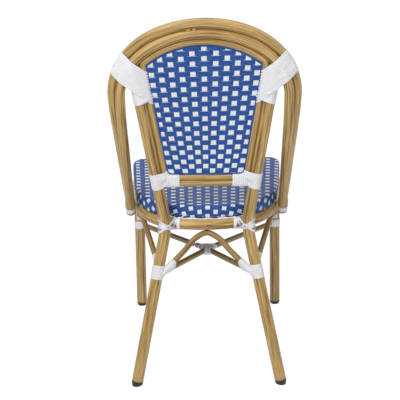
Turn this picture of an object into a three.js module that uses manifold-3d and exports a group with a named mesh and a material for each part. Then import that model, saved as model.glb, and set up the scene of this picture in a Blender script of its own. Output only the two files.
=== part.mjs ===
import * as THREE from "three";
import { mergeVertices } from "three/addons/utils/BufferGeometryUtils.js";
import Module from "manifold-3d";

// A bistro side chair of bent tube with a woven seat and back, tied at its joints with flat strip.
// Millimetres, +Z up. The sitter faces -Y, the origin is on the floor under the middle of the chair.
// All curves are first drawn from the middle of the seat rail's rear run, then moved to that origin.

// Tube sizes.
const legDiameter = 28;
const legBore = 24;
const hoopDiameter = 23;
const hoopBore = 19.6;
const railDiameter = 26;
const rimDiameter = 14;
const crossbarDiameter = 16;
const braceDiameter = 14;
const seatFrameDiameter = 24;
// Two tubes that are welded side by side, and a tube's coped end, keep this much from each other.
const weldGap = 0.3;
// Bent tubes side by side touch only here and there, so they keep a little more.
const bentGap = 0.6;

// Corners of the back's rim.
const rimCorner = 18;
const rimTopReach = 16;
const rimCornerEase = 1.35;

// Heights above the floor. The seat sets the rail's height, and the back stands on that.
const seatTopHeight = 432;
const seatOverRail = 45;
const railHeight = seatTopHeight - seatOverRail;
const rimRise = 127;
const rimBottomHeight = railHeight + rimRise;
const hoopCentreRise = 324;
const hoopCentreHeight = railHeight + hoopCentreRise;
const legTopRise = 395;
const legTopHeight = railHeight + legTopRise;

// The back leans 10 degrees: its rise over its run back.
const reclineShare = 0.1765;

// Seat rail, seen from above: half width and depth of the tube's centre line.
const railHalfWidth = 186.5;
const railDepth = 415;
const railShares = [[0, 0], [0.3, 0.016], [0.566, 0.067], [0.68, 0.112], [0.765, 0.17], [0.83, 0.235],
  [0.888, 0.36], [0.94, 0.52], [0.978, 0.7], [1, 0.87], [0.985, 0.945], [0.9, 0.988], [0.7, 1], [0.35, 1]];

// Outer edge of the woven seat, seen from above.
const seatSideOverhang = 14.5;
const seatEndOverhang = 15;
const seatHalfWidth = railHalfWidth + seatSideOverhang;
const seatDepth = railDepth + seatEndOverhang;
const seatSetForward = 4;
const seatShares = [[0, 0], [0.3, 0.018], [0.552, 0.063], [0.711, 0.137], [0.84, 0.263], [0.893, 0.36],
  [0.958, 0.674], [0.99, 0.84], [0.99, 0.93], [0.92, 0.985], [0.75, 1], [0.4, 1]];
const seatThickness = 30.1;
const seatUnderside = seatTopHeight - seatThickness;
const seatSheet = 3;
const seatSideSheet = 2.6;
const seatRound = 7;
const seatLip = 18;
const panelThickness = 4;
const panelGap = 0.5;

// Rear legs: half widths at the floor, at the rail and at the top, and the foot's place behind.
const rearFootHalfWidth = 176;
const rearFootBack = 72.6;
const waistHalfWidth = 96.4;
const legSpreadShare = 0.1515;
const legBend = 34;

// Front legs: half widths and depths at the floor and under the rail.
const frontFootSpread = 5;
const frontFootSetback = 11;
const frontTopSetback = 38;
const frontFootHalfWidth = railHalfWidth + frontFootSpread;
const frontFootForward = railDepth - frontFootSetback;
const frontTopHalfWidth = railHalfWidth;
const frontTopForward = railDepth - frontTopSetback;

// Hoops: the inner hoop is half an ellipse over two straight arms that run forward to the seat rail.
const hoopHalfWidth = 189;
const hoopRise = 145.5;
const hoopKneeDrop = 42;
const hoopEndForward = 131;
const hoopEndDrop = 10;
const hoopEndHeight = railHeight - hoopEndDrop;
// The outer hoop lies outside the inner one at the top and rolls round it to lie in front.
const rollAtWidest = 40;
const rollAtEnd = 86;

// Strip of the lashings.
const stripWidth = 4.8;
const stripThickness = 1.2;
const stripGap = 0.3;
const stripEase = 1.3;
const bundleReach = 95;
const topWrapSweeps = [2.15, 20.15];
const topWrapDrop = 14;
const uprightWrapTopDrop = 62;
const uprightWrapLength = 22;
const topWrapLow = legTopHeight - topWrapDrop;
const uprightWrapTop = legTopHeight - uprightWrapTopDrop;
const uprightWrapBottom = uprightWrapTop - uprightWrapLength;
const barWrapSetback = 34.3;
const barWrapLength = 17.5;
const armWrapFar = 20;
const armWrapNear = 3.5;
const centreWrapReach = 8.5;
const jointWrapLength = 18;
const sleeveWall = 1.5;
const branchLength = 27;
const rearWrapDrop = 94.5;
const rearWrapLength = 37.5;
const frontWrapDrop = 121.5;
const frontWrapLength = 27;
const lowWrapDrop = 32;
const lowWrapLength = 44;
const rearWrapHeights = [railHeight - rearWrapDrop - rearWrapLength, railHeight - rearWrapDrop];
const frontWrapHeights = [railHeight - frontWrapDrop - frontWrapLength, railHeight - frontWrapDrop];
const lowWrapHeights = [rimBottomHeight - lowWrapDrop, rimBottomHeight - lowWrapDrop + lowWrapLength];

// Braces under the seat, as drops below the rail.
const crossCentreShare = 0.34;
const crossCentreForward = railDepth * crossCentreShare;
const crossCentreDrop = 117;
const crossRearDrop = 119;
const crossFrontDrop = 133;
const crossCentreHeight = railHeight - crossCentreDrop;
const crossRearHeight = railHeight - crossRearDrop;
const crossFrontHeight = railHeight - crossFrontDrop;
const archTopDrop = 1;
const sideArchDrop = 2.6;
const archShoulderHalfWidth = 54;
const archShoulderDrop = 60;
const archEndDrop = 129;
const archShoulderHeight = railHeight - archShoulderDrop;
const archEndHeight = railHeight - archEndDrop;
const sideBraceRearDrop = 97;
const sideBraceFrontDrop = 125;
const sideBraceRearHeight = railHeight - sideBraceRearDrop;
const sideBraceFrontHeight = railHeight - sideBraceFrontDrop;

// Foot glides and end plugs.
const glideHeight = 10;
const glideChamfer = 2.5;
const plugLength = 18;
const plugGap = 0.3;
const endCapThickness = 3.5;
const beadLength = 9;
const beadThickness = 3.6;
const beadPlaces = [19, 32];

// Bolts that hold the seat frame down on the rail, two a side.
const boltShares = [0.188, 0.783];
const boltDiameter = 6;
const boltHeadDiameter = 12;
const boltHeadHeight = 3.5;
const boltClearance = 0.3;

// Facets.
const tubeSides = 10;
const smallTubeSides = 8;
const archSteps = 9;
const braceSteps = 14;
const ringSteps = 44;
const lashSides = 12;
const sampleSpacing = 2;
const cutOverrun = 12;
const mergeDistance = 1e-4;

const bamboo = new THREE.MeshStandardMaterial({ color: 0xb59a62, roughness: 0.42, metalness: 0.05 });
const white = new THREE.MeshStandardMaterial({ color: 0xf0f0ee, roughness: 0.5, metalness: 0 });
const blue = new THREE.MeshStandardMaterial({ color: 0x2f57a8, roughness: 0.45, metalness: 0 });
const dark = new THREE.MeshStandardMaterial({ color: 0x2a2522, roughness: 0.6, metalness: 0 });
const metal = new THREE.MeshStandardMaterial({ color: 0x9a958a, roughness: 0.4, metalness: 0.8 });

const wasm = await Module();
wasm.setup();

const chair = new THREE.Group();
const drawn = new THREE.Group();
chair.add(drawn);

// A closed geometry as a solid, for cutting and joining.
function solidOf(geometry) {
  const bare = geometry.clone();
  bare.deleteAttribute("normal");
  bare.deleteAttribute("uv");
  const merged = mergeVertices(bare, mergeDistance);
  return new wasm.Manifold(new wasm.Mesh({
    numProp: 3,
    vertProperties: new Float32Array(merged.attributes.position.array),
    triVerts: new Uint32Array(merged.index.array),
  }));
}

function geometryOf(solid) {
  const mesh = solid.getMesh();
  const positions = new Float32Array(mesh.numVert * 3);
  for (let i = 0; i < mesh.numVert; i++) {
    positions.set(mesh.vertProperties.subarray(i * mesh.numProp, i * mesh.numProp + 3), i * 3);
  }
  const geometry = new THREE.BufferGeometry();
  geometry.setAttribute("position", new THREE.BufferAttribute(positions, 3));
  geometry.setIndex(new THREE.BufferAttribute(new Uint32Array(mesh.triVerts), 1));
  return geometry;
}

function add(name, geometry, material) {
  const flat = geometry.index ? geometry.toNonIndexed() : geometry;
  flat.computeVertexNormals();
  const mesh = new THREE.Mesh(flat, material);
  mesh.name = name;
  drawn.add(mesh);
}

function point(x, y, z) {
  return new THREE.Vector3(x, y, z);
}

// The centre line of a bent tube, held as the places where its facets turn.
class Run extends THREE.Curve {
  constructor(places, closed = false) {
    super();
    this.places = closed ? [...places, places[0]] : places;
    this.closed = closed;
  }

  get steps() {
    return this.places.length - 1;
  }

  getPoint(share) {
    const at = share * this.steps;
    const i = Math.min(Math.floor(at), this.steps - 1);
    return this.places[i].clone().lerp(this.places[i + 1], at - i);
  }

  getTangent(share) {
    const i = Math.round(share * this.steps);
    const wrap = this.closed ? this.steps : 0;
    const before = this.places[i - 1] ?? (wrap ? this.places[wrap - 1] : this.places[i]);
    const after = this.places[i + 1] ?? (wrap ? this.places[1] : this.places[i]);
    const into = this.places[i].clone().sub(before).normalize();
    return after.clone().sub(this.places[i]).normalize().add(into).normalize();
  }

  getPointAt(share) {
    return this.getPoint(share);
  }

  getTangentAt(share) {
    return this.getTangent(share);
  }

  // Evenly spaced places, about one sample length apart.
  samples(spacing = sampleSpacing) {
    const places = [];
    for (let i = 0; i < this.steps; i++) {
      const count = Math.ceil(this.places[i].distanceTo(this.places[i + 1]) / spacing);
      for (let k = 0; k < count; k++) {
        places.push(this.places[i].clone().lerp(this.places[i + 1], k / count));
      }
    }
    return [...places, this.places.at(-1)];
  }
}

// A tube along an open run, and a ring of tube along a closed one.
function tube(run, diameter, sides) {
  const section = new THREE.Shape().absarc(0, 0, diameter / 2, 0, 2 * Math.PI);
  return new THREE.ExtrudeGeometry(section, {
    extrudePath: run,
    steps: run.steps,
    bevelEnabled: false,
    curveSegments: sides / 2,
  });
}

function ring(run, diameter, sides) {
  return new THREE.TubeGeometry(run, run.steps, diameter / 2, sides, true);
}

function smooth(points, closed = false) {
  return new THREE.CatmullRomCurve3(points, closed, "centripetal");
}

// A smooth curve through some points, as a run of even facets.
function curved(points, steps) {
  return new Run(smooth(points).getSpacedPoints(steps));
}

function straight(from, to) {
  return new Run([from, to]);
}

// The rounded corner between two straight runs, starting and ending one reach from it.
function corner(before, at, after, reach, steps) {
  const start = at.clone().lerp(before, reach / at.distanceTo(before));
  const end = at.clone().lerp(after, reach / at.distanceTo(after));
  return new THREE.QuadraticBezierCurve3(start, at, end).getPoints(steps);
}

// The same run carried straight on past both ends, for cutters.
function carriedOn(run, overrun) {
  const before = run.getTangent(0).multiplyScalar(-overrun).add(run.places[0]);
  const after = run.getTangent(1).multiplyScalar(overrun).add(run.places.at(-1));
  return new Run([before, ...run.places, after]);
}

function mirrored(curvePoints) {
  return curvePoints.map((p) => point(-p.x, p.y, p.z));
}

// Least distance from a place to a curve's sampled points.
function distanceTo(samples, place) {
  return Math.min(...samples.map((s) => s.distanceTo(place)));
}

// Moves a place along a direction, out of reach of a curve, until it is exactly that far from it.
function standOff(samples, place, direction, distance) {
  const far = place.clone().addScaledVector(direction, 2 * distance);
  const near = place.clone();
  for (let i = 0; i < 40; i++) {
    const middle = near.clone().lerp(far, 0.5);
    if (distanceTo(samples, middle) < distance) near.copy(middle);
    else far.copy(middle);
  }
  return far;
}

// Seat rail, seat frame and woven seat: closed outlines that mirror about x = 0.
function outline(shares, halfWidth, depth, setForward, height) {
  const half = shares.map(([x, y]) => point(x * halfWidth, -y * depth - setForward, height));
  const other = half.slice(1).reverse().map((p) => point(-p.x, p.y, p.z));
  return smooth([...half, ...other], true);
}

const railCurve = outline(railShares, railHalfWidth, railDepth, 0, railHeight);
const railRun = new Run(railCurve.getSpacedPoints(ringSteps).slice(1), true);
const railSamples = railRun.samples();
const seatCurve = outline(seatShares, seatHalfWidth, seatDepth, seatSetForward, 0);

// One place on the woven seat's outline, moved in by an inset, at a height.
function seatPlace(share, inset, height) {
  const at = seatCurve.getPointAt(share % 1);
  const along = seatCurve.getTangentAt(share % 1);
  return point(at.x + along.y * inset, at.y - along.x * inset, height);
}

function seatRing(inset, height) {
  const places = [];
  for (let i = 0; i < ringSteps; i++) places.push(seatPlace(i / ringSteps, inset, height));
  return places;
}

// Rear legs: one bent tube each, from the foot past the back of the rail up to the hoop.
// The bend's middle lies a little behind the corner of its straight runs.
const bendSetback = legBend * reclineShare / 2;
const waist = standOff(
  railSamples,
  point(waistHalfWidth, 0, railHeight),
  point(0, 1, 0),
  (legDiameter + railDiameter) / 2 + weldGap,
).sub(point(0, bendSetback, 0));

function legHalfWidthAt(height) {
  return waistHalfWidth + (height - railHeight) * legSpreadShare;
}

// The crossbar is welded right under the rim's low bar.
const crossbarHeight = rimBottomHeight
  - ((rimDiameter + crossbarDiameter) / 2 + weldGap) / Math.hypot(1, reclineShare);

// The leaning plane of hoops, rim and crossbar holds the uprights' centre lines too.
function backPlace(x, height) {
  return point(x, waist.y + (height - railHeight) * reclineShare, height);
}

function uprightAt(height) {
  return backPlace(legHalfWidthAt(height), height);
}

function legFootAt(height) {
  return point(rearFootHalfWidth, rearFootBack, 0).lerp(waist, height / railHeight);
}

const rearLegRun = new Run([
  legFootAt(glideHeight),
  ...corner(legFootAt(0), waist, uprightAt(legTopHeight), legBend, 5),
  uprightAt(legTopHeight),
]);

// Front legs: straight tubes that end under the rail.
const frontFoot = point(frontFootHalfWidth, -frontFootForward, 0);
const frontTop = point(frontTopHalfWidth, -frontTopForward, railHeight);

function frontLegAt(height) {
  return frontFoot.clone().lerp(frontTop, height / railHeight);
}

const frontLegRun = straight(frontLegAt(glideHeight), frontTop);

// Inner hoop: the arch by angle from its top, then the knee and the straight arm to its end.
function archPlace(angle, inset = 0) {
  const side = hoopHalfWidth - inset;
  const rise = hoopRise - inset;
  return backPlace(side * Math.sin(angle), hoopCentreHeight + rise * Math.cos(angle));
}

const hoopEndClear = (railDiameter + hoopDiameter) / 2 + stripThickness + 2 * stripGap + stripEase;
const hoopEnd = standOff(
  railSamples,
  point(railHalfWidth * 0.8, -hoopEndForward, railHeight),
  point(1, 0, 0),
  hoopEndClear,
);
hoopEnd.z = hoopEndHeight;
const widest = archPlace(Math.PI / 2);
const knee = backPlace(hoopHalfWidth, hoopCentreHeight - hoopKneeDrop);
const arm = hoopEnd.clone().sub(knee).normalize();
const belowKnee = knee.clone().addScaledVector(arm, knee.distanceTo(widest));
const kneeCurve = new THREE.QuadraticBezierCurve3(widest, knee, belowKnee);
const archAngles = Array.from({ length: archSteps }, (_, i) => (i * Math.PI) / 2 / archSteps);
const innerHalf = [
  ...archAngles.map((angle) => archPlace(angle)),
  ...kneeCurve.getPoints(4),
  ...[1 / 3, 2 / 3, 1].map((share) => belowKnee.clone().lerp(hoopEnd, share)),
];

function bothSides(half) {
  return new Run([...mirrored(half.slice(1)).reverse(), ...half]);
}

const innerHoopRun = bothSides(innerHalf);

// Outer hoop: carried round the inner one by a roll that grows from the top to the arm's end.
const acrossBack = point(0, -1, reclineShare).normalize();
const innerTangents = innerHalf.map((_, i) => (
  innerHoopRun.getTangent(0.5 + i / innerHoopRun.steps)
));

function rollOf(i) {
  const share = i / archSteps;
  if (share < 1) return rollAtWidest * share * share * (3 - 2 * share);
  return THREE.MathUtils.mapLinear(innerHalf[i].z, widest.z, hoopEnd.z, rollAtWidest, rollAtEnd);
}

const outerHalf = innerHalf.map((place, i) => {
  const outward = acrossBack.clone().cross(innerTangents[i]).normalize();
  const ahead = innerTangents[i].clone().cross(outward).normalize();
  const roll = THREE.MathUtils.degToRad(rollOf(i));
  const reach = hoopDiameter + bentGap;
  return place.clone().addScaledVector(outward, reach * Math.cos(roll))
    .addScaledVector(ahead, reach * Math.sin(roll));
});
const outerHoopRun = bothSides(outerHalf);

// Back rim: a closed ring that follows the hoop inside, the uprights at the sides and a low bar.
const rimReach = (legDiameter + rimDiameter) / 2 + bentGap;
const rimInset = (hoopDiameter + rimDiameter) / 2 + bentGap;
const rimSideShift = rimReach * Math.hypot(1, legSpreadShare);

function rimSide(height) {
  return backPlace(legHalfWidthAt(height) - rimSideShift, height);
}

// The angle on the hoop at which the rim's side would meet its arch.
function meetingAngle() {
  let [low, high] = [0, Math.PI / 2];
  for (let i = 0; i < 40; i++) {
    const middle = (low + high) / 2;
    const at = archPlace(middle, rimInset);
    if (at.x < rimSide(at.z).x) low = middle;
    else high = middle;
  }
  return low;
}

const rimMeetingAngle = meetingAngle();
const rimTopCornerAngle = rimMeetingAngle - THREE.MathUtils.degToRad(rimCornerEase);
const rimTopCorner = archPlace(rimTopCornerAngle, rimInset);
const rimArch = [0.87, 0.66, 0.44, 0.22].map((share) => archPlace(share * rimTopCornerAngle, rimInset));
const rimHalf = [
  ...corner(backPlace(0, rimBottomHeight), rimSide(rimBottomHeight), rimSide(rimTopCorner.z), rimCorner, 4),
  ...corner(rimSide(rimBottomHeight), rimSide(rimTopCorner.z), rimArch[0], rimTopReach, 3),
  ...rimArch,
];
const rimRun = new Run([...rimHalf, archPlace(0, rimInset), ...mirrored(rimHalf).reverse()], true);

// Crossbar between the uprights, right under the rim.
const crossbarHalf = backPlace(legHalfWidthAt(crossbarHeight), crossbarHeight);
const otherSide = point(-1, 1, 1);
const crossbarRun = straight(crossbarHalf, crossbarHalf.clone().multiply(otherSide));
const barWrapOuter = crossbarHalf.x - barWrapSetback;
const barWrapInner = barWrapOuter - barWrapLength;

// Cross brace: one whole rod from leg to leg, and two half rods coped against its middle.
const rearLegAtCross = legFootAt(crossRearHeight);
const frontLegAtCross = frontLegAt(crossFrontHeight);

const crossMiddle = point(0, -crossCentreForward, crossCentreHeight);
const crossRodRun = new Run([rearLegAtCross, crossMiddle, frontLegAtCross.clone().multiply(otherSide)]);
const crossMirrorRun = new Run([rearLegAtCross.clone().multiply(otherSide), crossMiddle, frontLegAtCross]);

// Rear arch: from one rear leg up under the rail's rear run and down to the other.
const archTop = railHeight - (railDiameter + braceDiameter) / 2 - archTopDrop;

function lowerLegPlace(x, height) {
  return point(x, legFootAt(height).y, height);
}

const archHalf = [
  point(0, 0, archTop),
  lowerLegPlace(archShoulderHalfWidth * 0.55, archTop - (archTop - archShoulderHeight) * 0.3),
  lowerLegPlace(archShoulderHalfWidth, archShoulderHeight),
  legFootAt(archEndHeight),
];
const rearArchRun = curved([...mirrored(archHalf.slice(1)).reverse(), ...archHalf], braceSteps);

// Side arches: from the rear leg up under the side rail and down to the front leg.
const sideRear = legFootAt(sideBraceRearHeight);
const sideFront = frontLegAt(sideBraceFrontHeight);
const sideTop = railHeight - (railDiameter + braceDiameter) / 2 - sideArchDrop;

function underRail(forward) {
  const at = railSamples.filter((s) => s.x > 0 && -s.y < railDepth * 0.9)
    .reduce((best, s) => (Math.abs(-s.y - forward) < Math.abs(-best.y - forward) ? s : best));
  return point(at.x, -forward, sideTop);
}

const sideArchPoints = [
  sideRear,
  sideRear.clone().lerp(underRail(railDepth * 0.3), 0.82),
  underRail(railDepth * 0.37),
  underRail(railDepth * 0.55),
  underRail(railDepth * 0.68),
  sideFront.clone().lerp(underRail(railDepth * 0.76), 0.7),
  sideFront,
];
const sideArchRun = curved(sideArchPoints, braceSteps);

function tubeSolid(run, diameter, sides) {
  return solidOf(tube(run, diameter, sides));
}

// A tube whose flats, not its corners, lie at the diameter.
function flatsSolid(run, diameter, sides) {
  return tubeSolid(run, diameter / Math.cos(Math.PI / sides), sides);
}

function slab(low, high) {
  const size = high.clone().sub(low);
  const box = new THREE.BoxGeometry(size.x, size.y, size.z);
  box.translate((low.x + high.x) / 2, (low.y + high.y) / 2, (low.z + high.z) / 2);
  return solidOf(box);
}

const innerHoopCut = tubeSolid(innerHoopRun, hoopDiameter + 2 * weldGap, tubeSides);

function hoopSolid(run) {
  const bore = flatsSolid(carriedOn(run, cutOverrun), hoopBore, smallTubeSides);
  return tubeSolid(run, hoopDiameter, tubeSides).subtract(bore);
}

add("outer_hoop", geometryOf(hoopSolid(outerHoopRun)), bamboo);
add("inner_hoop", geometryOf(hoopSolid(innerHoopRun)), bamboo);

const sides = { left: 1, right: -1 };

// A piece of the left side, and its mirror image on the right.
function addPair(name, geometry, material) {
  for (const [side, sign] of Object.entries(sides)) {
    add(name + "_" + side, geometry, material);
    drawn.children.at(-1).scale.x = sign;
  }
}

// Seat rail with the holes of the seat bolts.
const seatFrameInset = seatSideSheet + weldGap + seatFrameDiameter / 2;
const seatFrameHeight = seatTopHeight - seatSheet - weldGap - seatFrameDiameter / 2;
const seatFrameRun = new Run(seatRing(seatFrameInset, seatFrameHeight), true);
const seatFrameSamples = seatFrameRun.samples();

function rightmostAt(samples, forward) {
  return samples.filter((s) => s.x > 0)
    .reduce((best, s) => (Math.abs(-s.y - forward) < Math.abs(-best.y - forward) ? s : best)).x;
}

const boltBase = railHeight - railDiameter / 2 - boltClearance;
const boltPlaces = boltShares.map((share) => {
  const forward = share * railDepth;
  const middle = (rightmostAt(railSamples, forward) + rightmostAt(seatFrameSamples, forward)) / 2;
  return point(middle, -forward, boltBase);
});
const boltTop = seatFrameHeight;

function turned(profile, segments = 10) {
  const lathe = new THREE.LatheGeometry(profile.map(([r, z]) => new THREE.Vector2(r, z)), segments);
  lathe.rotateX(Math.PI / 2);
  return lathe;
}

function boltProfile(grow) {
  const shank = boltDiameter / 2 + grow;
  return [[0, -boltHeadHeight - grow], [boltHeadDiameter / 2 + grow, -boltHeadHeight - grow],
    [boltHeadDiameter / 2 + grow, grow], [shank, grow], [shank, boltTop - boltBase + grow],
    [0, boltTop - boltBase + grow]];
}

function boltAt(place, grow) {
  return turned(boltProfile(grow), 8).translate(place.x, place.y, place.z);
}

function withBoltHoles(solid) {
  let cut = solid;
  for (const place of boltPlaces) {
    for (const sign of Object.values(sides)) {
      cut = cut.subtract(solidOf(boltAt(place.clone().multiply(point(sign, 1, 1)), boltClearance)));
    }
  }
  return cut;
}

const railCut = solidOf(ring(railRun, railDiameter + 2 * weldGap, tubeSides));
add("seat_rail", geometryOf(withBoltHoles(solidOf(ring(railRun, railDiameter, tubeSides)))), bamboo);
boltPlaces.forEach((place, i) => addPair("seat_bolt_" + ["rear", "front"][i], boltAt(place, 0), metal));

// Seat frame: the ring inside the weave.
const seatFrameSolid = solidOf(ring(seatFrameRun, seatFrameDiameter, smallTubeSides));
const seatFrameCut = solidOf(ring(seatFrameRun, seatFrameDiameter + 2.5 * weldGap, smallTubeSides));
add("seat_frame", geometryOf(withBoltHoles(seatFrameSolid)), metal);

// A solid whose outlines at several insets and heights are skinned together.
function skinned(levels) {
  const rings = levels.map(([inset, height]) => seatRing(inset, height));
  const positions = rings.flat().flatMap((p) => p.toArray());
  const bottom = rings.length * ringSteps;
  const top = bottom + 1;
  const centre = -seatSetForward - seatDepth / 2;
  positions.push(0, centre, levels[0][1], 0, centre, levels.at(-1)[1]);
  const index = [];
  for (let i = 0; i < ringSteps; i++) {
    const next = (i + 1) % ringSteps;
    for (let level = 0; level + 1 < rings.length; level++) {
      const low = level * ringSteps;
      const high = low + ringSteps;
      index.push(low + i, high + next, low + next, low + i, high + i, high + next);
    }
    index.push(bottom, i, next);
    index.push(top, (rings.length - 1) * ringSteps + next, (rings.length - 1) * ringSteps + i);
  }
  const geometry = new THREE.BufferGeometry();
  geometry.setAttribute("position", new THREE.Float32BufferAttribute(positions, 3));
  geometry.setIndex(index);
  return geometry;
}

// Woven seat: a sheet that is drawn over the frame ring and hooked under it, open underneath.
const seatEdge = seatRound / 2;
const seatBlock = solidOf(skinned([
  [seatEdge, seatUnderside],
  [0, seatUnderside + seatEdge],
  [0, seatTopHeight - seatRound],
  [seatRound * 0.3, seatTopHeight - seatRound * 0.3],
  [seatRound, seatTopHeight],
]));
const seatRecess = solidOf(skinned([
  [seatLip, seatUnderside - cutOverrun],
  [seatLip, seatTopHeight - seatSheet],
]));
const lashNotchTop = seatFrameHeight - seatFrameDiameter / 2 + 3 * seatSideSheet;
const lashNotch = slab(
  point(waistHalfWidth - legDiameter, -railDepth * 0.25, seatUnderside - cutOverrun),
  point(waistHalfWidth + legDiameter * 1.3, cutOverrun, lashNotchTop),
);
const seatSolid = withBoltHoles(seatBlock.subtract(seatFrameCut).subtract(seatRecess))
  .subtract(lashNotch).subtract(lashNotch.mirror([1, 0, 0]));
add("woven_seat", geometryOf(seatSolid), blue);

// Back rim and the woven panel that fills it.
add("back_rim", ring(rimRun, rimDiameter, smallTubeSides), bamboo);
const slope = Math.hypot(1, reclineShare);
const panelShape = new THREE.Shape(rimRun.places.slice(1).map((place, i) => {
  const along = rimRun.getTangent((i + 1) / rimRun.steps);
  const inward = along.clone().cross(acrossBack).negate().normalize();
  const at = place.clone().addScaledVector(inward, rimDiameter / 2 + panelGap);
  return new THREE.Vector2(at.x, (at.z - railHeight) * slope);
}));
const panel = new THREE.ExtrudeGeometry(panelShape, { depth: panelThickness, bevelEnabled: false });
panel.translate(0, 0, -panelThickness / 2);
panel.rotateX(Math.PI / 2 - Math.atan(reclineShare));
panel.translate(0, waist.y, railHeight);
const wrapRoom = rimDiameter + 2 * (3 * stripGap + 3 * stripThickness);
const wrapRooms = [
  straight(rimSide(uprightWrapBottom - stripWidth), rimSide(topWrapLow)),
  straight(
    backPlace(barWrapInner - stripWidth, rimBottomHeight),
    backPlace(barWrapOuter + 2 * stripWidth, rimBottomHeight),
  ),
];
let panelSolid = solidOf(panel);
for (const room of wrapRooms) {
  const roomSolid = flatsSolid(room, wrapRoom, smallTubeSides);
  panelSolid = panelSolid.subtract(roomSolid).subtract(roomSolid.mirror([1, 0, 0]));
}
add("woven_back", geometryOf(panelSolid), blue);

// Legs, coped where they meet the hoop and the rail.
function legSolid(run) {
  const bore = flatsSolid(carriedOn(run, cutOverrun), legBore, smallTubeSides);
  return tubeSolid(run, legDiameter, tubeSides).subtract(bore);
}

function legCut(run) {
  return flatsSolid(carriedOn(run, cutOverrun), legDiameter + 2 * weldGap, tubeSides);
}

addPair("rear_leg", geometryOf(legSolid(rearLegRun).subtract(innerHoopCut)), bamboo);
const aboveRail = slab(point(0, -seatDepth, railHeight), point(2 * seatHalfWidth, 0, seatTopHeight));
addPair("front_leg", geometryOf(legSolid(frontLegRun).subtract(railCut).subtract(aboveRail)), bamboo);
const rearLegCut = legCut(rearLegRun);
const frontLegCut = legCut(frontLegRun);

// Rods between the legs: each end is coped to the leg that it meets.
const rearLegCuts = rearLegCut.add(rearLegCut.mirror([1, 0, 0]));
const frontLegCuts = frontLegCut.add(frontLegCut.mirror([1, 0, 0]));

function rodCut(run, diameter) {
  return flatsSolid(run, diameter + 2 * weldGap, smallTubeSides);
}

// The part of a coped rod between its legs.
function coped(run, diameter, cutter) {
  const pieces = tubeSolid(run, diameter, smallTubeSides).subtract(cutter).decompose();
  return pieces.reduce((best, piece) => (piece.volume() > best.volume() ? piece : best));
}

const crossbarSolid = coped(crossbarRun, crossbarDiameter, rearLegCuts);
const crossRodCuts = rodCut(crossRodRun, braceDiameter);
const crossRodSolid = coped(crossRodRun, braceDiameter, rearLegCuts.add(frontLegCuts));
const crossHalves = tubeSolid(crossMirrorRun, braceDiameter, smallTubeSides)
  .subtract(rearLegCuts.add(frontLegCuts)).subtract(crossRodCuts).decompose()
  .filter((piece) => piece.volume() > braceDiameter ** 3);
const rearArchSolid = coped(rearArchRun, braceDiameter, rearLegCuts);
const sideArchSolid = coped(sideArchRun, braceDiameter, rearLegCut.add(frontLegCut));
add("back_crossbar", geometryOf(crossbarSolid), bamboo);
add("cross_brace", geometryOf(crossRodSolid), bamboo);
for (const half of crossHalves) {
  const middle = (half.boundingBox().min[1] + half.boundingBox().max[1]) / 2;
  const name = middle > -crossCentreForward ? "cross_brace_rear_half" : "cross_brace_front_half";
  add(name, geometryOf(half), bamboo);
}
add("rear_arch", geometryOf(rearArchSolid), bamboo);
addPair("side_arch", geometryOf(sideArchSolid), bamboo);

// Foot glides: a head as wide as the leg, cut flat on the floor, and a plug up the bore.
const floor = slab(
  point(-seatHalfWidth * 2, -seatDepth * 2, -glideHeight * 2),
  point(seatHalfWidth * 2, seatDepth, 0),
);

function aligned(geometry, place, direction) {
  geometry.applyQuaternion(new THREE.Quaternion().setFromUnitVectors(point(0, 0, 1), direction));
  return geometry.translate(place.x, place.y, place.z);
}

function glide(tubeEnd, axis) {
  const below = glideHeight * 1.6;
  const headTop = -weldGap;
  const toe = legDiameter / 2 - glideChamfer;
  const head = turned([
    [0, -below], [toe, -below], [toe, -glideHeight], [legDiameter / 2, -glideHeight + glideChamfer * 2],
    [legDiameter / 2, headTop], [legBore / 2 - plugGap * 2, headTop],
    [legBore / 2 - plugGap * 2, plugLength], [0, plugLength],
  ]);
  return solidOf(aligned(head, tubeEnd, axis)).subtract(floor);
}

const rearFootAxis = waist.clone().sub(legFootAt(0)).normalize();
const frontFootAxis = frontTop.clone().sub(frontFoot).normalize();
addPair("rear_glide", geometryOf(glide(legFootAt(glideHeight), rearFootAxis)), dark);
addPair("front_glide", geometryOf(glide(frontLegAt(glideHeight), frontFootAxis)), dark);

// End caps of the hoops.
function endCap(run) {
  const rim = hoopDiameter / 2;
  const cap = turned([
    [0, -plugLength], [hoopBore / 2 - plugGap * 2, -plugLength], [hoopBore / 2 - plugGap * 2, weldGap],
    [rim, weldGap], [rim, endCapThickness * 0.6], [rim * 0.8, endCapThickness], [0, endCapThickness],
  ]);
  return aligned(cap, run.places.at(-1), run.getTangent(1));
}

addPair("inner_hoop_cap", endCap(innerHoopRun), dark);
addPair("outer_hoop_cap", endCap(outerHoopRun), dark);

// Two weld beads in the groove between the hoops, at the back of the top.
const grooveReach = Math.sqrt(((hoopDiameter + beadThickness) / 2 + weldGap) ** 2 - (hoopDiameter / 2) ** 2);
beadPlaces.forEach((x, i) => {
  const bead = new THREE.SphereGeometry(beadThickness / 2, 8, 6);
  bead.scale(beadLength / beadThickness, 1, 1);
  const angle = Math.asin(x / hoopHalfWidth);
  const inner = archPlace(angle);
  const nearest = outerHoopRun.samples()
    .reduce((best, p) => (p.distanceTo(inner) < best.distanceTo(inner) ? p : best));
  const middle = inner.clone().lerp(nearest, 0.5).addScaledVector(acrossBack, -grooveReach);
  add("weld_bead_" + (i + 1), bead.translate(middle.x, middle.y, middle.z), bamboo);
});

// Lashings. A strand is a tube or a laid strip, as places along it and the radius round them.
function strand(run, diameter) {
  return { places: run.samples(), radius: diameter / 2 };
}

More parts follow.
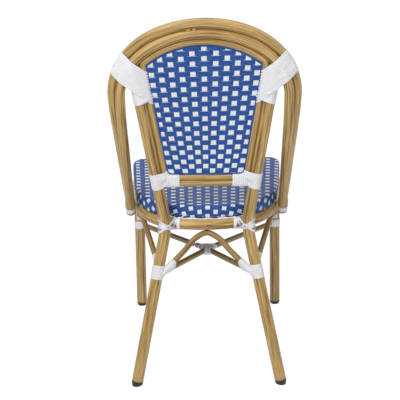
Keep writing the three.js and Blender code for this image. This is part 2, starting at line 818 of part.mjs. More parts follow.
// How far the strands reach from a centre in a direction square to an axis, within a strip's width.
function reachOf(strands, centre, axis, normal) {
  let best = -Infinity;
  for (const { places, radius } of strands) {
    for (const place of places) {
      const offset = place.clone().sub(centre);
      const along = Math.max(0, Math.abs(offset.dot(axis)) - stripWidth / 2);
      if (along < radius) best = Math.max(best, offset.dot(normal) + Math.sqrt(radius ** 2 - along ** 2));
    }
  }
  return best;
}

// The stretches of some strands that lie near a winding.
function nearby(strands, middle) {
  return strands.map(({ places, radius }) => (
    { places: places.filter((place) => place.distanceTo(middle) < bundleReach), radius }
  ));
}

// One unbroken strip wound round its strands in even turns, phase by phase, along a straight axis.
function winding(from, to, phases, steps) {
  const axis = to.clone().sub(from).normalize();
  const across = phases.across.clone().addScaledVector(axis, -phases.across.dot(axis)).normalize();
  const other = axis.clone().cross(across);
  const turns = phases.reduce((sum, phase) => sum + phase.turns, 0);
  const last = turns * steps;
  const lift = stripGap + stripThickness / 2;
  const middle = from.clone().lerp(to, 0.5);
  for (const phase of phases) phase.near = nearby(phase.round, middle);
  const knots = [];
  for (let k = 0; k <= last; k++) {
    let turn = Math.min(Math.floor(k / steps), turns - 1);
    const phase = phases.find((item) => (turn -= item.turns) < 0);
    const angle = (2 * Math.PI * (k + 0.5)) / steps;
    const normal = across.clone().multiplyScalar(Math.cos(angle)).addScaledVector(other, Math.sin(angle));
    const travel = phase.start + (phase.end - phase.start) * ((turn + phase.turns) / phase.turns
      + (k % steps || (k === last ? steps : 0)) / steps / phase.turns);
    knots.push({ phase, normal, centre: from.clone().addScaledVector(axis, travel) });
  }
  // Each knot starts where two neighbouring tangent lines of the bundle cross.
  const side = Math.PI / steps;
  for (const knot of knots) {
    const turned = [-side, side].map((by) => knot.normal.clone().applyAxisAngle(axis, by));
    const reaches = turned.map((normal) => reachOf(knot.phase.near, knot.centre, axis, normal) + lift);
    const outward = (reaches[0] + reaches[1]) / 2 / Math.cos(side);
    const sideways = (reaches[1] - reaches[0]) / 2 / Math.sin(side);
    knot.place = knot.centre.clone().addScaledVector(knot.normal, outward)
      .addScaledVector(axis.clone().cross(knot.normal), sideways);
  }
  return { knots, axis, steps };
}

// Least distance between a winding's own turns, edge to edge.
function leastGap({ knots, axis, steps }) {
  let least = Infinity;
  for (let k = 0; k + steps < knots.length; k++) {
    const edge = knots[k].place.clone().addScaledVector(axis, stripWidth);
    for (const by of [-1, 0, 1]) {
      const next = knots[k + steps + by];
      if (next) least = Math.min(least, edge.distanceTo(next.place));
    }
  }
  return least;
}

function stripGeometry({ knots, axis }) {
  const positions = [];
  for (const { place, normal } of knots) {
    for (const [out, over] of [[-1, -1], [1, -1], [1, 1], [-1, 1]]) {
      positions.push(...place.clone().addScaledVector(normal, (out * stripThickness) / 2)
        .addScaledVector(axis, (over * stripWidth) / 2).toArray());
    }
  }
  const index = [];
  for (let k = 0; k + 1 < knots.length; k++) {
    for (let side = 0; side < 4; side++) {
      const a = k * 4 + side;
      const b = k * 4 + ((side + 1) % 4);
      index.push(a, b + 4, b, a, a + 4, b + 4);
    }
  }
  const end = (knots.length - 1) * 4;
  index.push(0, 1, 2, 0, 2, 3, end, end + 2, end + 1, end, end + 3, end + 2);
  const geometry = new THREE.BufferGeometry();
  geometry.setAttribute("position", new THREE.Float32BufferAttribute(positions, 3));
  geometry.setIndex(index);
  return geometry;
}

const strands = {
  inner: strand(innerHoopRun, hoopDiameter),
  outer: strand(outerHoopRun, hoopDiameter),
  leg: strand(rearLegRun, legDiameter),
  rim: strand(rimRun, rimDiameter),
  rail: strand(railRun, railDiameter),
  crossbar: strand(crossbarRun, crossbarDiameter),
  crossRod: strand(crossRodRun, braceDiameter),
  crossMirror: strand(crossMirrorRun, braceDiameter),
};

function phasesOf(across, ...phases) {
  phases.across = across;
  return phases;
}

let leastOfAll = Infinity;

function lash(name, from, to, phases, paired = true) {
  const wound = winding(from, to, phases, lashSides);
  leastOfAll = Math.min(leastOfAll, leastGap(wound));
  const geometry = stripGeometry(wound);
  if (paired) addPair(name, geometry, white);
  else add(name, geometry, white);
  return wound;
}

// Top of the back: four turns round both hoops, the upright and the rim, then three round the hoops.
const [topFrom, topTo] = topWrapSweeps.map((sweep, i) => (
  archPlace(rimMeetingAngle + THREE.MathUtils.degToRad(sweep), (-hoopDiameter / 2) * i)
));
const topLength = topFrom.distanceTo(topTo);
const topRound = [strands.inner, strands.outer, strands.leg, strands.rim];
lash("top_wrap", topFrom, topTo, phasesOf(
  point(1, 0, 0.8),
  { turns: 4, start: 0, end: topLength * 0.45, round: topRound },
  { turns: 3, start: topLength * 0.76, end: topLength * 1.07, round: [strands.inner, strands.outer] },
));

// Under it, round the upright and the rim's side.
lash("upright_wrap", uprightAt(uprightWrapTop), uprightAt(uprightWrapBottom), phasesOf(
  point(1, 0, 0),
  { turns: 4, start: 0, end: uprightWrapTop - uprightWrapBottom, round: [strands.leg, strands.rim] },
));

// Low bars of the back, beside each upright.
const barFrom = backPlace(barWrapInner, (rimBottomHeight + crossbarHeight) / 2);
const barTo = backPlace(barWrapOuter, (rimBottomHeight + crossbarHeight) / 2);
lash("bar_wrap", barFrom, barTo, phasesOf(
  point(0, reclineShare, 1),
  { turns: 3, start: 0, end: barWrapOuter - barWrapInner, round: [strands.rim, strands.crossbar] },
));

// Ends of the hoops' arms, beside the seat rail.
function onArm(fromEnd) {
  return hoopEnd.clone().addScaledVector(arm, -fromEnd);
}

const armAhead = outerHalf.at(-1).clone().sub(hoopEnd);
lash("arm_wrap", onArm(armWrapFar), onArm(armWrapNear), phasesOf(
  armAhead,
  { turns: 3, start: 0, end: armWrapFar - armWrapNear, round: [strands.inner, strands.outer] },
));

// Middle of the cross brace, round both rods.
lash("centre_wrap", point(-centreWrapReach, -crossCentreForward, crossCentreHeight),
  point(centreWrapReach, -crossCentreForward, crossCentreHeight), phasesOf(
    point(0, 1, 0),
    { turns: 3, start: 0, end: 2 * centreWrapReach, round: [strands.crossRod, strands.crossMirror] },
  ), false);

// Upright and seat rail: two slanting windings, the second over the first.
const seatJoint = waist.clone().lerp(
  railSamples.reduce((best, p) => (p.distanceTo(waist) < best.distanceTo(waist) ? p : best)),
  0.5,
);
const slants = { under: 1, over: -1 };
const laid = [];
for (const [layer, sign] of Object.entries(slants)) {
  const axis = point(sign, 0, 1).normalize();
  const half = axis.clone().multiplyScalar(jointWrapLength / 2);
  const [from, to] = [-1, 1].map((end) => seatJoint.clone().addScaledVector(half, end));
  const wound = lash("seat_joint_wrap_" + layer, from, to, phasesOf(
    point(0, 1, 0),
    { turns: 3, start: 0, end: jointWrapLength, round: [strands.leg, strands.rail, ...laid] },
  ));
  for (const over of [-0.5, 0, 0.5]) {
    const line = wound.knots.map(({ place }) => (
      place.clone().addScaledVector(wound.axis, over * stripWidth)
    ));
    laid.push(strand(new Run(line), 2 * stripThickness));
  }
}

// Joints where brace ends meet a leg: the lashing is a close sleeve with a short branch on each brace.
function sleeve(name, runs, cutters) {
  let solid = null;
  for (const [from, to, diameter] of runs) {
    const run = flatsSolid(straight(from, to), diameter + 2 * (weldGap + sleeveWall), tubeSides);
    solid = solid ? solid.add(run) : run;
  }
  for (const cutter of cutters) solid = solid.subtract(cutter);
  const whole = solid.decompose().reduce((best, piece) => (piece.volume() > best.volume() ? piece : best));
  addPair(name, geometryOf(whole), white);
}

// The stretch of a rod next to its end: its first place and one some way along.
function branch(run, length, fromEnd) {
  const places = fromEnd ? run.samples().reverse() : run.samples();
  return [places[0], places[Math.round(length / sampleSpacing)], braceDiameter];
}

sleeve(
  "rear_foot_wrap",
  [[...rearWrapHeights.map(legFootAt), legDiameter], branch(rearArchRun, branchLength, true),
    branch(crossRodRun, branchLength, false), branch(sideArchRun, branchLength, false)],
  [rearLegCut, rodCut(rearArchRun, braceDiameter), crossRodCuts, rodCut(sideArchRun, braceDiameter)],
);
sleeve(
  "front_leg_wrap",
  [[...frontWrapHeights.map(frontLegAt), legDiameter],
    branch(crossMirrorRun, branchLength, true), branch(sideArchRun, branchLength, true)],
  [frontLegCut, rodCut(crossMirrorRun, braceDiameter), rodCut(sideArchRun, braceDiameter)],
);
sleeve(
  "low_joint_wrap",
  [[...lowWrapHeights.map(uprightAt), legDiameter],
    [crossbarHalf, backPlace(barWrapOuter + stripWidth, crossbarHeight), crossbarDiameter],
    [backPlace(legHalfWidthAt(rimBottomHeight), rimBottomHeight),
      backPlace(barWrapOuter + stripWidth, rimBottomHeight), rimDiameter]],
  [rearLegCut, rodCut(crossbarRun, crossbarDiameter),
    solidOf(ring(rimRun, rimDiameter + 2.5 * weldGap, smallTubeSides))],
);

// The drawing is moved so that the middle of the chair lies over the origin.
const extent = new THREE.Box3().setFromObject(drawn);
drawn.position.y = -(extent.min.y + extent.max.y) / 2;

console.log("least gap of a lashing to itself " + leastOfAll.toFixed(2) + " mm");

export default chair;
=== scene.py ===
import bpy
import bmesh
import math
import numpy as np
from mathutils import Matrix, Vector


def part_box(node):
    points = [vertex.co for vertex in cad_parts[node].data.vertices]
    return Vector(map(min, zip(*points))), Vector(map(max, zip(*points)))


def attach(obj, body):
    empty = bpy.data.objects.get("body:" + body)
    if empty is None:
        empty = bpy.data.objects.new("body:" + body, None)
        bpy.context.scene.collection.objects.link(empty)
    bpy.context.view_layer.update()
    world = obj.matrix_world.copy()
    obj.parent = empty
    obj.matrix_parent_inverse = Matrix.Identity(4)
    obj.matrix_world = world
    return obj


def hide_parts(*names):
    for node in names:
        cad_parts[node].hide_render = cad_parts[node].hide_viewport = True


# A bistro side chair of bent, bamboo-painted aluminium tube, with a seat and a back woven of flat
# polyethylene strip, and white strip lashed round its joints. Metres, the sitter faces -Y.
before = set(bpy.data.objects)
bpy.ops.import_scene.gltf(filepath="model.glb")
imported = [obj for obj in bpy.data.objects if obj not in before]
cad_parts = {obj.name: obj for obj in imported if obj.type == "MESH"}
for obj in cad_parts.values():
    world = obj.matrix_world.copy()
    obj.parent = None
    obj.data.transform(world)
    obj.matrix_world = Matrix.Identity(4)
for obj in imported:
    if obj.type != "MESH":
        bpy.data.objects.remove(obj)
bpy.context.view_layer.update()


# Camera
# Where the photograph was taken from: behind the chair, a little above its back. It looks down
# at the chair, with a long lens. Angles are in degrees.
camera_place = (-0.0078, 2.4190, 1.1948)
camera_heading = 180.58
camera_tilt = 71.68
camera_roll = -1.0
camera_data = bpy.data.cameras.new("camera")
camera_data.sensor_width = 36
camera_data.lens = 90.17
camera_data.clip_start = 0.05
camera_data.clip_end = 60
camera = bpy.data.objects.new("camera", camera_data)
bpy.context.scene.collection.objects.link(camera)
camera.matrix_world = (
    Matrix.Translation(camera_place)
    @ Matrix.Rotation(math.radians(camera_heading), 4, "Z")
    @ Matrix.Rotation(math.radians(camera_tilt), 4, "X")
    @ Matrix.Rotation(math.radians(camera_roll), 4, "Z")
)
bpy.context.scene.camera = camera
bpy.context.scene.view_settings.view_transform = "Standard"


# Studio
# A plain white floor and surround, wide soft lamps above the chair and beside the camera, and a
# weak fill from the front.
def linear(shade):
    """An sRGB hex value as a linear colour."""
    parts = [int(shade[i:i + 2], 16) / 255 for i in (0, 2, 4)]
    return [p / 12.92 if p <= 0.04045 else ((p + 0.055) / 1.055) ** 2.4 for p in parts] + [1.0]


def node(tree, kind, settings=None, **inputs):
    """Adds a node. A setting is set on the node itself. An input is a value or another node's
    output, and goes by its name or, like _1, by its number."""
    made = tree.nodes.new(kind)
    for key, value in (settings or {}).items():
        setattr(made, key, value)
    for key, value in inputs.items():
        name = int(key[1:]) if key[1:].isdigit() else key.replace("_", " ")
        if isinstance(value, bpy.types.NodeSocket):
            tree.links.new(value, made.inputs[name])
        else:
            made.inputs[name].default_value = value
    return made


def maths(tree, operation, *values):
    """What a math node gives for its values."""
    inputs = {f"_{i}": value for i, value in enumerate(values)}
    return node(tree, "ShaderNodeMath", {"operation": operation}, **inputs).outputs[0]


def seen_white(tree):
    """1 for the rays that show the white surround: to the camera, in a gloss, or through glass."""
    rays = node(tree, "ShaderNodeLightPath").outputs
    direct = maths(tree, "MAXIMUM", rays["Is Camera Ray"], rays["Is Transmission Ray"])
    return maths(tree, "MAXIMUM", direct, rays["Is Glossy Ray"])


def blank_material(name):
    """A new material and its empty node tree."""
    made = bpy.data.materials.new(name)
    made.use_nodes = True
    made.node_tree.nodes.clear()
    return made, made.node_tree


def three_shades(tree, factor, *stops):
    """The colour for a factor, which runs through three shades at their places."""
    made = node(tree, "ShaderNodeValToRGB", Fac=factor)
    stop = made.color_ramp.elements
    stop[0].position, stop[0].color = stops[0][0], linear(stops[0][1])
    stop[1].position, stop[1].color = stops[2][0], linear(stops[2][1])
    stop.new(stops[1][0]).color = linear(stops[1][1])
    return made.outputs["Color"]


world = bpy.data.worlds.new("white surround")
bpy.context.scene.world = world
world.use_nodes = True
tree = world.node_tree
tree.nodes.clear()
seen = seen_white(tree)
glow = node(tree, "ShaderNodeBackground", Color=linear("ffffff"), Strength=1.0)
ambient = node(tree, "ShaderNodeBackground", Color=linear("fbfcff"), Strength=0.22)
surround = node(tree, "ShaderNodeMixShader", _0=seen, _1=ambient.outputs[0], _2=glow.outputs[0])
node(tree, "ShaderNodeOutputWorld", Surface=surround.outputs[0])

# Most of what the camera sees of the floor is white of its own. The rest is matt paint, which
# keeps the chair's shadow. The strength makes up for the share.
floor_share = 0.84
floor_strength = 1.18
floor_size = 14
floor_paint, tree = blank_material("matt white studio floor")
share = maths(tree, "MULTIPLY", seen_white(tree), floor_share)
lit = node(tree, "ShaderNodeEmission", Color=linear("ffffff"), Strength=floor_strength)
matt = node(tree, "ShaderNodeBsdfDiffuse", Color=linear("f4f4f4"))
surface = node(tree, "ShaderNodeMixShader", _0=share, _1=matt.outputs[0], _2=lit.outputs[0])
node(tree, "ShaderNodeOutputMaterial", Surface=surface.outputs[0])

bm = bmesh.new()
bmesh.ops.create_grid(bm, x_segments=1, y_segments=1, size=floor_size)
floor_mesh = bpy.data.meshes.new("studio_floor")
bm.to_mesh(floor_mesh)
bm.free()
floor = bpy.data.objects.new("studio_floor", floor_mesh)
floor.data.materials.append(floor_paint)
bpy.context.scene.collection.objects.link(floor)

for lamp_name, place, aim, size, power in (
    ("key lamp", (1.3, 2.2, 2.7), (0, 0, 0.5), 1.2, 52),
    ("side lamp", (-1.9, 2.4, 1.5), (0, 0, 0.45), 1.2, 15),
    ("top lamp", (0.0, 0.2, 3.2), (0, 0, 0.4), 1.6, 18),
    ("front fill", (-0.6, -3.2, 1.8), (0, 0, 0.5), 2.4, 7),
):
    lamp_data = bpy.data.lights.new(lamp_name, "AREA")
    lamp_data.size = size
    lamp_data.energy = power
    lamp = bpy.data.objects.new(lamp_name, lamp_data)
    lamp.location = place
    lamp.rotation_euler = (Vector(aim) - Vector(place)).to_track_quat("-Z", "Y").to_euler()
    bpy.context.scene.collection.objects.link(lamp)


# Seat rail
# The ring of 26 mm aluminium tube that carries the seat. It is bent, welded shut, powder coated
# and brushed by hand with brown lacquer to look like bamboo.
rail_height = 0.387
rail_radius = 0.013
# The middle of the rail's rear run lies this far behind the middle of the chair.
rail_rear = 0.16597
rail_half_width = 0.1865
rail_depth = 0.415
rail_shares = [
    (0, 0), (0.3, 0.016), (0.566, 0.067), (0.68, 0.112), (0.765, 0.17), (0.83, 0.235),
    (0.888, 0.36), (0.94, 0.52), (0.978, 0.7), (1, 0.87), (0.985, 0.945), (0.9, 0.988),
    (0.7, 1), (0.35, 1)]


def evenly(line, step):
    """The same line as even steps."""
    run = np.r_[0, np.cumsum(np.linalg.norm(np.diff(line, axis=0), axis=1))]
    spots = np.linspace(0, run[-1], max(2, round(run[-1] / step)) + 1)
    return np.stack([np.interp(spots, run, line[:, i]) for i in range(3)], 1)


def through(points, step=0.004, closed=False):
    """A smooth line through some places."""
    p = np.array(points, float)
    around = [p[-1:], p, p[:2]] if closed else [2 * p[:1] - p[1:2], p, 2 * p[-1:] - p[-2:-1]]
    q = np.vstack(around)
    t = np.linspace(0, 1, 24, endpoint=False)[:, None]
    spans = []
    for a, b, c, d in zip(q, q[1:], q[2:], q[3:]):
        k0, k1, k2 = (np.linalg.norm(m - n) ** 0.5 for m, n in ((b, a), (c, b), (d, c)))
        leave = ((b - a) / k0 - (c - a) / (k0 + k1) + (c - b) / k1) * k1
        arrive = ((c - b) / k1 - (d - b) / (k1 + k2) + (d - c) / k2) * k1
        spans.append((2 * t**3 - 3 * t**2 + 1) * b + (t**3 - 2 * t**2 + t) * leave
                     + (3 * t**2 - 2 * t**3) * c + (t**3 - t**2) * arrive)
    return evenly(np.vstack([*spans, p[:1] if closed else p[-1:]]), step)


def ring_outline(shares, half_width, depth, rear, height):
    """A closed outline that mirrors about the chair's middle, seen from above."""
    half = [(x * half_width, rear - y * depth, height) for x, y in shares]
    return half + [(-x, y, z) for x, y, z in half[:0:-1]]


def directions(line, closed):
    """Unit directions along a line."""
    if closed:
        ahead = np.roll(line[:-1], -1, 0) - np.roll(line[:-1], 1, 0)
        ahead = np.vstack([ahead, ahead[:1]])
    else:
        ahead = np.gradient(line, axis=0)
    return ahead / np.linalg.norm(ahead, axis=1)[:, None]


def bend_grid(bm, length_steps, round_steps, place, length, first=0.0, round_at=None):
    """A grid whose corners are moved to place(u, v). Its UV runs in metres along, and by round_at
    or else from 0 to 1 across."""
    layer = bm.loops.layers.uv.get("UVMap") or bm.loops.layers.uv.new("UVMap")
    corners = bmesh.ops.create_grid(
        bm, x_segments=length_steps, y_segments=round_steps, size=0.5)["verts"]
    if round_at is None:
        round_at = np.linspace(0, 1, round_steps + 1)
    for face in {face for corner in corners for face in corner.link_faces}:
        for loop in face.loops:
            step = round((loop.vert.co.y + 0.5) * round_steps)
            loop[layer].uv = (first + (loop.vert.co.x + 0.5) * length, round_at[step])
    flat = np.array([corner.co[:] for corner in corners]) + 0.5
    for corner, spot in zip(corners, place(flat[:, 0], flat[:, 1])):
        corner.co = spot
    bmesh.ops.remove_doubles(bm, verts=corners, dist=1e-6)


def sweep_tube(bm, line, radius, sides=28, closed=False, beside=(0, 0, 1), first=0.0):
    """A round tube along a line. First is where its streaks start, so that tubes differ."""
    along = directions(line, closed)
    one = np.array(beside, float) - along * (along @ np.array(beside, float))[:, None]
    one /= np.linalg.norm(one, axis=1)[:, None]
    two = np.cross(along, one)
    radii = np.broadcast_to(radius, len(line))

    def place(u, v):
        i = np.rint(u * (len(line) - 1)).astype(int)
        turn = 2 * math.pi * v[:, None]
        return line[i] + radii[i][:, None] * (np.cos(turn) * one[i] + np.sin(turn) * two[i])

    run = float(np.linalg.norm(np.diff(line, axis=0), axis=1).sum())
    bend_grid(bm, len(line) - 1, sides, place, run, first)


def close_ends(bm):
    """Fills the open ends and turns all faces outwards."""
    bmesh.ops.holes_fill(bm, edges=[e for e in bm.edges if e.is_boundary], sides=0)
    bmesh.ops.recalc_face_normals(bm, faces=bm.faces)


def make_piece(name, bm, material, nodes, smooth=True):
    """The finished mesh as a piece of the chair that stands for some CAD nodes."""
    mesh = bpy.data.meshes.new(name)
    bm.to_mesh(mesh)
    bm.free()
    for face in mesh.polygons:
        face.use_smooth = smooth
    mesh.materials.append(material)
    piece = bpy.data.objects.new(name, mesh)
    bpy.context.scene.collection.objects.link(piece)
    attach(piece, "root")
    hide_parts(*nodes)
    return piece


def make_tube(name, line, radius, material, nodes, **how):
    """A tube along a line as a piece, closed at its ends if it has any."""
    bm = bmesh.new()
    sweep_tube(bm, line, radius, **how)
    close_ends(bm)
    make_piece(name, bm, material, nodes)


def make_pair(name, build, material, nodes, smooth=True):
    """A piece on the left side, and its mirror image on the right."""
    for side, sign in (("left", 1), ("right", -1)):
        bm = bmesh.new()
        build(bm)
        close_ends(bm)
        if sign < 0:
            bmesh.ops.scale(bm, vec=(-1, 1, 1), verts=bm.verts)
            bmesh.ops.reverse_faces(bm, faces=bm.faces)
        make_piece(f"{name}_{side}", bm, material, [f"{n}_{side}" for n in nodes], smooth)


def bamboo_lacquer(name, light, mid, deep, dark_line_and_painted_shade):
    """Powder-coated aluminium with brushed-on brown lacquer: a warm gold with soft lengthwise
    streaks some millimetres wide, and a satin shine."""
    made, tree = blank_material(name)
    place = node(tree, "ShaderNodeUVMap", {"uv_map": "UVMap"})
    parts = node(tree, "ShaderNodeSeparateXYZ", Vector=place.outputs["UV"]).outputs
    angle = maths(tree, "MULTIPLY", parts["Y"], math.tau)
    east = maths(tree, "COSINE", angle)
    north = maths(tree, "SINE", angle)
    # Broad strokes are 130 mm long and 4 mm wide, fine ones 70 mm long and 1.5 mm wide.
    noises = []
    for travel, scale, detail in ((2.6, 3.0, 2.0), (1.7, 8.5, 4.0)):
        far = maths(tree, "MULTIPLY", parts["X"], travel)
        spot = node(tree, "ShaderNodeCombineXYZ", X=east, Y=north, Z=far)
        noises.append(node(tree, "ShaderNodeTexNoise", Vector=spot.outputs[0], Scale=scale,
                           Detail=detail, Roughness=0.6).outputs["Fac"])
    broad, fine = noises
    both = node(tree, "ShaderNodeMix", {"data_type": "FLOAT"}, _0=0.45, _2=broad, _3=fine)
    paint = three_shades(tree, both.outputs[0], (0.38, deep), (0.48, mid), (0.62, light))
    # Three dark lines run along each tube at set places round it. They are partly the lacquer's own
    # brushed stripes and partly painted reflection and painted shade, as in the groove between the hoops.
    # They wander, and fade here and there.
    far = maths(tree, "MULTIPLY", parts["X"], 6.0)
    drift = node(tree, "ShaderNodeTexNoise", {"noise_dimensions": "1D"}, W=far, Scale=1.0, Detail=2.0)
    moved = maths(tree, "MULTIPLY_ADD", drift.outputs["Fac"], 0.08, parts["Y"])
    shifted = maths(tree, "ADD", moved, 0.877)
    thirds = maths(tree, "MULTIPLY", shifted, 3.0)
    saw = maths(tree, "PINGPONG", thirds, 0.5)
    line = node(tree, "ShaderNodeMapRange", {"interpolation_type": "SMOOTHSTEP"}, Value=saw, _1=0.10,
                _2=0.02)
    faded = node(tree, "ShaderNodeMapRange", Value=broad, _1=0.60, _2=0.42, _3=0.12, _4=0.85)
    strength = maths(tree, "MULTIPLY", line.outputs[0], faded.outputs[0])
    lined = node(tree, "ShaderNodeMix", {"data_type": "RGBA"}, _0=strength, _6=paint,
                 _7=linear(dark_line_and_painted_shade))
    uneven = node(tree, "ShaderNodeMapRange", Value=fine, _3=0.30, _4=0.44)
    brushed = node(tree, "ShaderNodeBump", Strength=0.10, Distance=0.0004, Height=fine)
    skin = node(tree, "ShaderNodeBsdfPrincipled", Base_Color=lined.outputs[2],
                Roughness=uneven.outputs[0], Normal=brushed.outputs[0], IOR=1.5)
    node(tree, "ShaderNodeOutputMaterial", Surface=skin.outputs[0])
    return made


# The last shade is that of the dark lines: partly lacquer stripes, partly painted reflection and painted
# shade.
bamboo = bamboo_lacquer("brushed bamboo lacquer", "debc7e", "bb9755", "7c5b2e", "4d3517")
rail_line = through(ring_outline(rail_shares, rail_half_width, rail_depth, rail_rear, rail_height),
                    closed=True)
make_tube("rail_tube", rail_line, rail_radius, bamboo, ["seat_rail"], closed=True)


# Rear legs
# One 28 mm tube a side. It stands on the floor, passes behind the seat rail where it is bent
# back by 10 degrees, and is welded to the underside of the hoop.
leg_radius = 0.014
rear_foot = np.array((0.176, 0.23857, 0.0))
waist = np.array((0.0964, 0.17034, rail_height))
# How far the upright leans back and outwards for each metre that it rises.
recline = 0.1765
leg_spread = 0.1515
leg_bend = 0.034
leg_top = 0.782
glide_height = 0.010
# How finely bent and straight tubes are divided along their length.
bend_step = 0.006
straight_step = 0.008


def back_place(x, z):
    """A place on the leaning plane of the back."""
    return np.array((x, waist[1] + (z - rail_height) * recline, z))


def upright_at(z):
    """The middle of a rear leg above the rail, at a height."""
    return back_place(waist[0] + (z - rail_height) * leg_spread, z)


def rear_leg_at(z):
    """The middle of a rear leg below the rail, at a height."""
    return rear_foot + (waist - rear_foot) * z / rail_height


def rounded(before, at, after, reach, steps=12):
    """A corner between two straight runs, rounded off over a reach on each side."""
    start = at + (before - at) * reach / np.linalg.norm(before - at)
    end = at + (after - at) * reach / np.linalg.norm(after - at)
    t = np.linspace(0, 1, steps + 1)[:, None]
    return (1 - t) ** 2 * start + 2 * t * (1 - t) * at + t**2 * end


rear_leg_line = evenly(np.vstack([
    rear_leg_at(glide_height), rounded(rear_leg_at(0), waist, upright_at(leg_top), leg_bend),
    upright_at(leg_top)]), bend_step)
make_pair("rear_leg_tube",
          lambda bm: sweep_tube(bm, rear_leg_line, leg_radius, beside=(0, 1, 0), first=2.0),
          bamboo, ["rear_leg"])


# Front legs
# Straight 28 mm tubes of the same painted aluminium, which splay a little outwards and forwards.
# They are coped and welded under the seat rail.
front_foot = np.array((0.1915, -0.23803, 0.0))
front_top = np.array((0.1865, -0.21103, rail_height))


def front_leg_at(z):
    """The middle of a front leg at a height."""
    return front_foot + (front_top - front_foot) * z / rail_height


front_leg_line = evenly(np.vstack([front_leg_at(glide_height), front_leg_at(rail_height)]),
                        straight_step)
make_pair("front_leg_tube",
          lambda bm: sweep_tube(bm, front_leg_line, leg_radius, beside=(0, 1, 0), first=5.0),
          bamboo, ["front_leg"])


# Hoops
# Two 23 mm tubes bent side by side. At the top one arches over the other, and on the way down
# to the seat rail it rolls round to lie in front.
hoop_radius = 0.0115
hoop_half_width = 0.189
hoop_rise = 0.1455
hoop_centre = 0.711
hoop_knee = 0.042
hoop_end = np.array((0.19033, 0.03497, 0.377))
# How far the outer hoop has rolled round the inner one, in degrees.
roll_at_widest = 40
roll_at_end = 86
# The bent tubes touch, pressed together by the lashing.
hoop_gap = -0.0002


def arch_place(angle, inset=0.0):
    """A place on the hoop's arch, or on a smaller one inside it, at an angle from the top."""
    return back_place((hoop_half_width - inset) * math.sin(angle),
                      hoop_centre + (hoop_rise - inset) * math.cos(angle))


widest = arch_place(math.pi / 2)
knee = back_place(hoop_half_width, hoop_centre - hoop_knee)
arm = (hoop_end - knee) / np.linalg.norm(hoop_end - knee)
below_knee = knee + arm * np.linalg.norm(knee - widest)
t = np.linspace(0, 1, 21)[:, None]
arch_half = np.array([arch_place(a) for a in np.linspace(0, math.pi / 2, 61)])
knee_half = (1 - t) ** 2 * widest + 2 * t * (1 - t) * knee + t**2 * below_knee
inner_half = evenly(np.vstack([arch_half, knee_half[1:], hoop_end]), bend_step)
across_back = np.array((0, -1, recline)) / math.hypot(1, recline)


def whole(half):
    """Both sides of a line that starts at the chair's middle."""
    return np.vstack([half[:0:-1] * (-1, 1, 1), half])


inner_line = whole(inner_half)
along = directions(inner_line, False)[len(inner_half) - 1:]
outward = np.cross(across_back, along)
outward /= np.linalg.norm(outward, axis=1)[:, None]
ahead = np.cross(along, outward)
turned = np.arctan2(inner_half[:, 0] / hoop_half_width, (inner_half[:, 2] - hoop_centre) / hoop_rise)
turned = np.clip(turned / (math.pi / 2), 0, 1)
down_arm = np.clip((widest[2] - inner_half[:, 2]) / (widest[2] - hoop_end[2]), 0, 1)
rolled = np.where(inner_half[:, 2] > widest[2], roll_at_widest * turned**2 * (3 - 2 * turned),
                  roll_at_widest + (roll_at_end - roll_at_widest) * down_arm)
rolled = np.radians(rolled)[:, None]
beside_inner = np.cos(rolled) * outward + np.sin(rolled) * ahead
outer_half = inner_half + (2 * hoop_radius + hoop_gap) * beside_inner
outer_line = whole(outer_half)

for hoop_name, hoop_line, first in (("inner_hoop", inner_line, 8.0), ("outer_hoop", outer_line, 11.0)):
    make_tube(hoop_name + "_tube", hoop_line, hoop_radius, bamboo, [hoop_name], beside=across_back,
              first=first)


# Back rim and crossbar
# A 14 mm tube ring inside the hoop and the uprights, which the back is woven on, and a short
# 16 mm tube welded under it from leg to leg.
rim_radius = 0.007
rim_low = 0.514
rim_corner = 0.018
rim_top_reach = 0.009
rim_top_angle = math.radians(51.4)
# The share of that angle at which the arch leaves its rounded corner.
rim_arch_start = 0.87
rim_step = 0.004
rim_inset = hoop_radius + rim_radius + hoop_gap
rim_shift = (leg_radius + rim_radius + hoop_gap) * math.hypot(1, leg_spread)
bar_radius = 0.008
bar_gap = 0.0003
bar_height = rim_low - (rim_radius + bar_radius + bar_gap) / math.hypot(1, recline)
thin_tube_sides = 20


def rim_side(z):
    """The middle of the rim's side, which follows the upright, at a height."""
    return back_place(upright_at(z)[0] - rim_shift, z)


rim_shoulder = rim_side(arch_place(rim_top_angle, rim_inset)[2])
rim_arch = np.array([arch_place(a, rim_inset) for a in np.linspace(rim_arch_start, 0, 30) * rim_top_angle])
rim_half = np.vstack([
    back_place(0, rim_low), rounded(back_place(0, rim_low), rim_side(rim_low), rim_shoulder, rim_corner),
    rounded(rim_side(rim_low), rim_shoulder, rim_arch[0], rim_top_reach), rim_arch])
rim_line = evenly(np.vstack([rim_half, rim_half[-2::-1] * (-1, 1, 1)]), rim_step)
make_tube("back_rim_tube", rim_line, rim_radius, bamboo, ["back_rim"], sides=thin_tube_sides,
          closed=True, beside=across_back, first=14.0)

bar_end = upright_at(bar_height)
bar_line = evenly(np.vstack([bar_end * (-1, 1, 1), bar_end]), straight_step)
make_tube("crossbar_tube", bar_line, bar_radius, bamboo, ["back_crossbar"], sides=thin_tube_sides,
          beside=across_back, first=17.0)


# Braces under the seat
# 14 mm rods: an arch between the rear legs, one on each side, and an X from leg to leg, of
# which one rod is whole and the other is two halves welded against its middle.
brace_radius = 0.007
arch_drop = 0.001
side_drop = 0.0026
arch_top = rail_height - rail_radius - brace_radius - arch_drop
side_top = rail_height - rail_radius - brace_radius - side_drop
arch_shoulder = 0.054
arch_shoulder_height = 0.327
arch_foot_height = 0.258
side_rear_height = 0.290
side_front_height = 0.262
cross_share = 0.34
cross_height = 0.270
cross_rear_height = 0.268
cross_front_height = 0.254
cross_centre = np.array((0, rail_rear - rail_depth * cross_share, cross_height))


def low_leg_place(x, z):
    """A place in the plane of the lower rear legs."""
    return np.array((x, rear_leg_at(z)[1], z))


